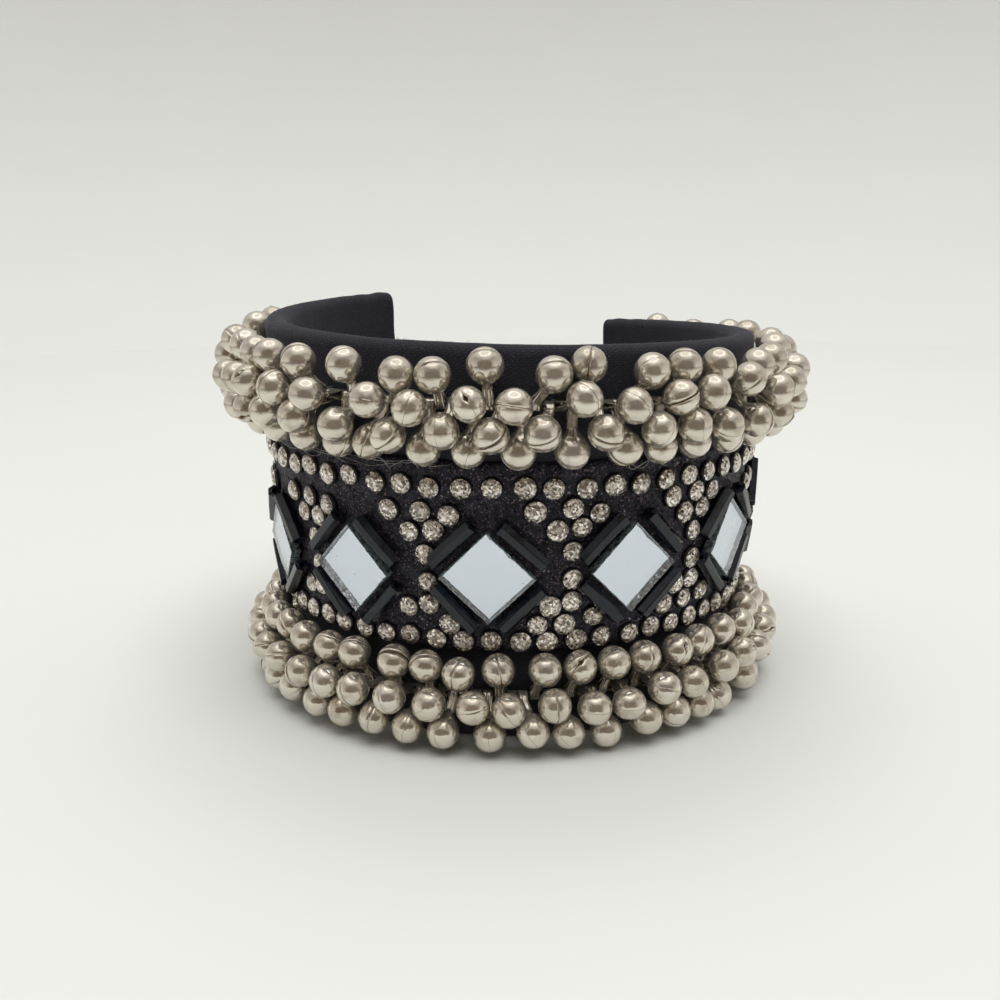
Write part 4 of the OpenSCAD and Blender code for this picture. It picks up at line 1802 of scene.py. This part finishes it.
    def build(self, glass: Finish, glue: Finish) -> list[Object]:
        """Makes the stones and the glue round them.

        Args:
            glass: finish of the stones.
            glue: finish of the glue.

        Returns:
            The two pieces.
        """
        draw = np.random.default_rng(self.seed)
        seats = self.seats(draw)
        gem_points, gem_faces = self.gem()
        collar_points, collar_faces = self.collar()
        stones, collars = MeshPlan(), MeshPlan()
        for along, z in seats:
            angle = np.array([self.form.angle_at(along, self.mirror_z, self.panel_face)])
            out, right, up = (axis[0] for axis in self.form.axes(angle, z))
            lean = draw.normal(0, self.tilt, 2)
            facing = unit(out + lean[0] * right + lean[1] * up)
            turn = draw.uniform(0, 2 * np.pi)
            level = unit(np.cross(up, facing))
            side = math.cos(turn) * level + math.sin(turn) * np.cross(facing, level)
            axes = np.stack([side, np.cross(facing, side), facing])
            seat = self.form.at(angle, z, self.panel_face)[0] + out * (self.pavilion + self.stands)
            scale = draw.uniform(*self.scale)
            tone = np.full(len(gem_points), draw.uniform(0, 1))
            stones.add(seat + scale * gem_points @ axes, gem_faces, flat=True, tone=tone)
            collars.add(seat + scale * collar_points @ axes, collar_faces)
        return [
            stones.make("clear_stones", [glass], None),
            collars.make("stone_glue", [glue], Slot.PANEL),
        ]


@dataclass
class LooseFibres:
    """Stray threads and strings of dried glue along the panel's upper edge."""

    form: CuffForm
    edge_z: float = 34.3
    out: float = 1.35
    thick: float = 0.035
    loops: float = 1.5
    steps: int = 60
    seed: int = 77
    # Each strand's first and last angle, how high it starts above the edge, and how much it curls
    strands: tuple[tuple[float, float, float, float], ...] = (
        (-66, -18, 0.5, 0.25),
        (-60, -22, 0.0, 0.5),
        (-52, -34, 0.2, 1.3),
        (-30, -20, 0.0, 1.0),
        (-24, -12, 0.5, 0.4),
        (20, 30, 0.3, 0.9),
        (24, 33, 0.1, 0.5),
        (52, 66, 0.1, 0.6),
        (-100, -84, 0.2, 0.7),
        (96, 112, 0.1, 0.6),
    )

    def build(self, fibre: Finish) -> Object:
        """Makes the strands.

        Args:
            fibre: their finish.

        Returns:
            The piece.
        """
        draw = np.random.default_rng(self.seed)
        plan = MeshPlan()
        for first, last, high, curl in self.strands:
            steps = np.linspace(0, 1, self.steps)
            a, b, c = draw.uniform(0, 6.28, 3)
            loops = steps * 2 * np.pi * self.loops
            angle = first + (last - first) * steps + 1.2 * curl * np.sin(loops + a)
            sway = 0.6 * curl * np.cos(loops + b) + 0.15 * np.sin(steps * 19 + c)
            out = self.out + 0.2 * np.sin(steps * 11 + a)
            taper = self.thick * (0.5 + 0.5 * np.sin(np.pi * steps))
            plan.add_tube(self.form.at(angle, self.edge_z + high + sway, out), taper, 5)
        return plan.make("loose_fibres", [fibre], None)


def hide(thing: Object, *rays: str) -> None:
    """Hides an object from kinds of light rays."""
    for ray in rays:
        setattr(thing, f"visible_{ray}", False)


@dataclass
class Studio:
    """A pale seamless floor and wall, soft light from above, and the camera where the photo was taken."""

    form: CuffForm
    camera_x: float = -1.55
    camera_ahead: float = 155.39  # in front of the cuff's own middle
    camera_z: float = 61.4
    pitch: float = 13.959  # degrees down
    roll: float = -0.502  # degrees against the clock
    focal_px: float = 1128.19  # in the photo's pixels
    photo_px: float = 1000.0
    sensor: float = 36.0
    floor_rings: tuple[float, ...] = (1.0, 60.0, 120.0, 240.0, 450.0)  # radii; the wall's foot is the last
    gloss_lift: float = 0.02  # how far the floor that shows in gloss lies over the other
    cove_r: float = 350.0
    wall_top: float = 1000.0
    sides: int = 96
    # Each softbox's place, how far back it is aimed at the floor, its width and its watts
    softboxes: tuple[tuple[float, float, float, float, float, float], ...] = (
        (70.0, -370.0, 900.0, 0.0, 760.0, 4.55),
        (0.0, 540.0, 930.0, 760.0, 700.0, 1.85),
    )
    glow: float = 1.95  # radiance of the sky where its colour is white
    side_soft: float = 0.25  # half the width over which the sky in front turns into the one behind
    # The sky's colour at heights from 0 at the horizon to 1 overhead, in front of the cuff and behind it
    sky_ahead: tuple[tuple[float, str], ...] = (
        (0.0, "#b0aca6"), (0.64, "#716d69"), (0.8, "#a8a5a1"), (0.88, "#c5c3bf"), (1.0, "#cfcdc9"),
    )
    sky_behind: tuple[tuple[float, str], ...] = (
        (0.0, "#a6a39e"), (0.41, "#85827f"), (0.79, "#a8a5a1"), (0.9, "#bfbcb8"), (1.0, "#cfcdc9"),
    )
    # The dim part of the room in front: half its width, where it starts to end upwards, and how soon
    dim_wide: float = 0.76
    dim_middle: float = 0.22
    dim_high: float = 0.42
    dim_edge: Pair = (1.4, 0.6)  # shares of its size where it has ended and where it is full
    dim_ahead: float = 0.2  # how far ahead it is full
    dim_colour: str = "#4a3e34"
    # The ring lamp overhead: heights of its lower and upper edges, how soft they are, and its colour
    ring_edges: Pair = (0.9, 0.952)
    ring_soft: float = 0.008
    ring_colour: str = "#fffdf8"

    def sweep(self, name: str, profile: Array, paper: Finish, capped: bool = False) -> Object:
        """Turns a profile round the studio's middle.

        Args:
            name: the new object's name.
            profile: rows of radius and height.
            paper: its finish.
            capped: whether a face closes it inside its first ring.

        Returns:
            The object, marked as stage.
        """
        points = np.concatenate([level_ring(self.sides, r, z) for r, z in profile])
        mesh = bpy.data.meshes.new(name)
        faces = grid_faces(len(profile), self.sides).tolist()
        if capped:
            faces.append(list(range(self.sides))[::-1])
        mesh.from_pydata((points * METRES).tolist(), [], faces)
        mesh.materials.append(paper.material())
        mesh.polygons.foreach_set("use_smooth", [True] * len(mesh.polygons))
        made = bpy.data.objects.new(name, mesh)
        bpy.context.scene.collection.objects.link(made)
        return made

    def build_room(self, paper: Finish, gloss: Finish) -> None:
        """Lays the floor and stands the wall round it, which only the camera sees, so the sky lights all.

        Args:
            paper: finish of both.
            gloss: finish of the floor as it shows in gloss.
        """
        rings = np.array(self.floor_rings)
        floor = self.sweep("studio_floor", np.stack([rings, rings * 0], 1), paper, capped=True)
        hide(floor, "glossy")
        lifted = np.stack([rings, rings * 0 + self.gloss_lift], 1)
        mirrored = self.sweep("studio_floor_in_gloss", lifted, gloss, capped=True)
        hide(mirrored, "camera", "diffuse", "transmission", "shadow")
        bend = np.radians(np.linspace(0, 90, 16))
        foot, back = rings[-1], rings[-1] + self.cove_r
        cove = np.stack([foot + self.cove_r * np.sin(bend), self.cove_r * (1 - np.cos(bend))], 1)
        wall = self.sweep("studio_wall", np.concatenate([cove, [[back, self.wall_top]]]), paper)
        hide(wall, "diffuse", "glossy", "transmission", "shadow")

    def build_sky(self) -> None:
        """Sets the sky: bright overhead with a ring lamp in it, dimmer walls, and the dim room in front."""
        world = bpy.data.worlds.new("soft studio sky")
        bpy.context.scene.world = world
        world.use_nodes = True
        tree = world.node_tree
        way = add_node(tree, "TexCoord", {}, "Generated")
        x, y, z = add_node(tree, "SeparateXYZ", {0: way}).node.outputs
        skies = []
        for stops in (self.sky_ahead, self.sky_behind):
            skies.append(add_node(tree, "ValToRGB", {0: z}))
            marks = skies[-1].node.color_ramp.elements
            for place, colour in stops[1:-1]:
                marks.new(place).color = linear(colour)
            marks[0].color, marks[-1].color = linear(stops[0][1]), linear(stops[-1][1])
        behind = add_node(tree, "MapRange", {0: y, 1: -self.side_soft, 2: self.side_soft}, **SMOOTH)
        plain = add_node(tree, "Mix", {0: behind, 6: skies[0], 7: skies[1]}, **COLOUR)
        side = add_node(tree, "Math", {0: x, 1: self.dim_wide}, operation="DIVIDE")
        high = add_node(tree, "Math", {0: z, 1: self.dim_middle}, operation="SUBTRACT", use_clamp=True)
        tall = add_node(tree, "Math", {0: high, 1: self.dim_high}, operation="DIVIDE")
        squared = add_node(tree, "Math", {0: side, 1: side}, operation="MULTIPLY")
        apart = add_node(tree, "Math", {0: tall, 1: tall, 2: squared}, operation="MULTIPLY_ADD")
        near = add_node(tree, "MapRange", {0: apart, 1: self.dim_edge[0], 2: self.dim_edge[1]}, **SMOOTH)
        ahead = add_node(tree, "MapRange", {0: y, 1: 0.0, 2: -self.dim_ahead}, **SMOOTH)
        dim = add_node(tree, "Math", {0: near, 1: ahead}, operation="MULTIPLY")
        dimmed = add_node(tree, "Mix", {0: dim, 6: plain, 7: linear(self.dim_colour)}, **COLOUR)
        edges = [
            add_node(tree, "MapRange", {0: z, 1: edge - self.ring_soft, 2: edge}, **SMOOTH)
            for edge in self.ring_edges
        ]
        ring = add_node(tree, "Math", {0: edges[0], 1: edges[1]}, operation="SUBTRACT")
        colour = add_node(tree, "Mix", {0: ring, 6: dimmed, 7: linear(self.ring_colour)}, **COLOUR)
        feed(tree, tree.nodes["Background"], {"Color": colour, "Strength": self.glow})

    def hang_softboxes(self) -> None:
        """Hangs the softboxes, whose light gives the cuff its soft shadow and fills the wall."""
        for i, (x, y, z, aimed, size, watts) in enumerate(self.softboxes):
            data = bpy.data.lights.new(f"softbox_{i}", "AREA")
            data.shape = "DISK"
            data.size = size * METRES
            data.energy = watts
            softbox = bpy.data.objects.new(f"softbox_{i}", data)
            softbox.location = Vector((x, y, z)) * METRES
            way = Vector((0, aimed, 0)) * METRES - softbox.location
            softbox.rotation_euler = way.to_track_quat("-Z", "Y").to_euler()
            softbox.visible_glossy = False
            bpy.context.scene.collection.objects.link(softbox)

    def aim_camera(self) -> None:
        """Sets the camera where the photo was taken from, with its tilt and lens."""
        data = bpy.data.cameras.new("photo_camera")
        data.sensor_width = self.sensor
        data.lens = self.focal_px * self.sensor / self.photo_px
        data.clip_start, data.clip_end = 0.005, 10
        camera = bpy.data.objects.new("photo_camera", data)
        stand = Vector((self.camera_x, self.form.shift_y - self.camera_ahead, self.camera_z))
        tipped = Matrix.Rotation(math.radians(90 - self.pitch), 4, "X")
        rolled = Matrix.Rotation(math.radians(self.roll), 4, "Z")
        camera.matrix_world = Matrix.Translation(stand * METRES) @ tipped @ rolled
        bpy.context.scene.collection.objects.link(camera)
        bpy.context.scene.camera = camera

    def build(self, paper: Finish, gloss: Finish) -> None:
        """Sets up the whole studio.

        Args:
            paper: finish of its floor and wall.
            gloss: finish of the floor as it shows in gloss.
        """
        self.build_room(paper, gloss)
        self.build_sky()
        self.hang_softboxes()
        self.aim_camera()
        bpy.context.scene.view_settings.view_transform = "Standard"
        bpy.context.scene.view_settings.look = "None"


UPPER = StringFacts("upper", thread_z=41.6, seed=101, gaping=5, pierced=6)
LOWER = StringFacts("lower", thread_z=6.2, seed=202, gaping=5, pierced=10)
MIRROR_COUNT = 9
MIRROR_SEED = 300
BUGLE_SEED = 400
ASKEW_MIRRORS = {7: 8.0}  # degrees against the clock by which a mirror sits askew


def main() -> None:
    """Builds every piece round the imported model."""
    logging.basicConfig(level=logging.INFO, format="%(message)s")
    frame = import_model()
    nodes = frame["nodes"]
    form = CuffForm.from_frame()
    log.info("cuff stands %.3f mm back", form.shift_y)
    Studio(form).build(StudioPaper(), PaperInGloss())
    Cover(form, (UPPER.thread_z, LOWER.thread_z)).build(TwillCotton())
    # The nap's fibres are black cotton; their grey to pale tones are painted sheen along the rim.
    RimNap(form).build(LooseCotton("cotton nap, black, painted sheen", "#34343b", "#8b8b93"))
    panel = GlitterPanel(form)
    panel.build_ground(GlitterGround())
    panel.build_grains(GlitterGrain())
    for facts in (UPPER, LOWER):
        bells = BellString(form, BellShape(), facts)
        bells.build(nodes[bells.node], NickelPlate(), SeamShadow())
        loops = [seat for seat, _, _ in bells.poses(nodes[bells.node])]
        SewnThread(form, facts).build(loops, SewingYarn())
    for i in range(1, MIRROR_COUNT + 1):
        tile = MirrorTile(f"mirror_{i}", seed=MIRROR_SEED + i, turn=ASKEW_MIRRORS.get(i, 0.0))
        tile.build(PlateGlass(), CutGlassEdge(), SilverBack())
        BugleFrame(f"bugle_frame_{i}", form, seed=BUGLE_SEED + i).build(BugleGlass())
    StoneField(form, panel.face).build(FoiledGlass(), BlackResin())
    LooseFibres(form).build(LooseCotton())
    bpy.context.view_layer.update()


if __name__ == "__main__":
    main()
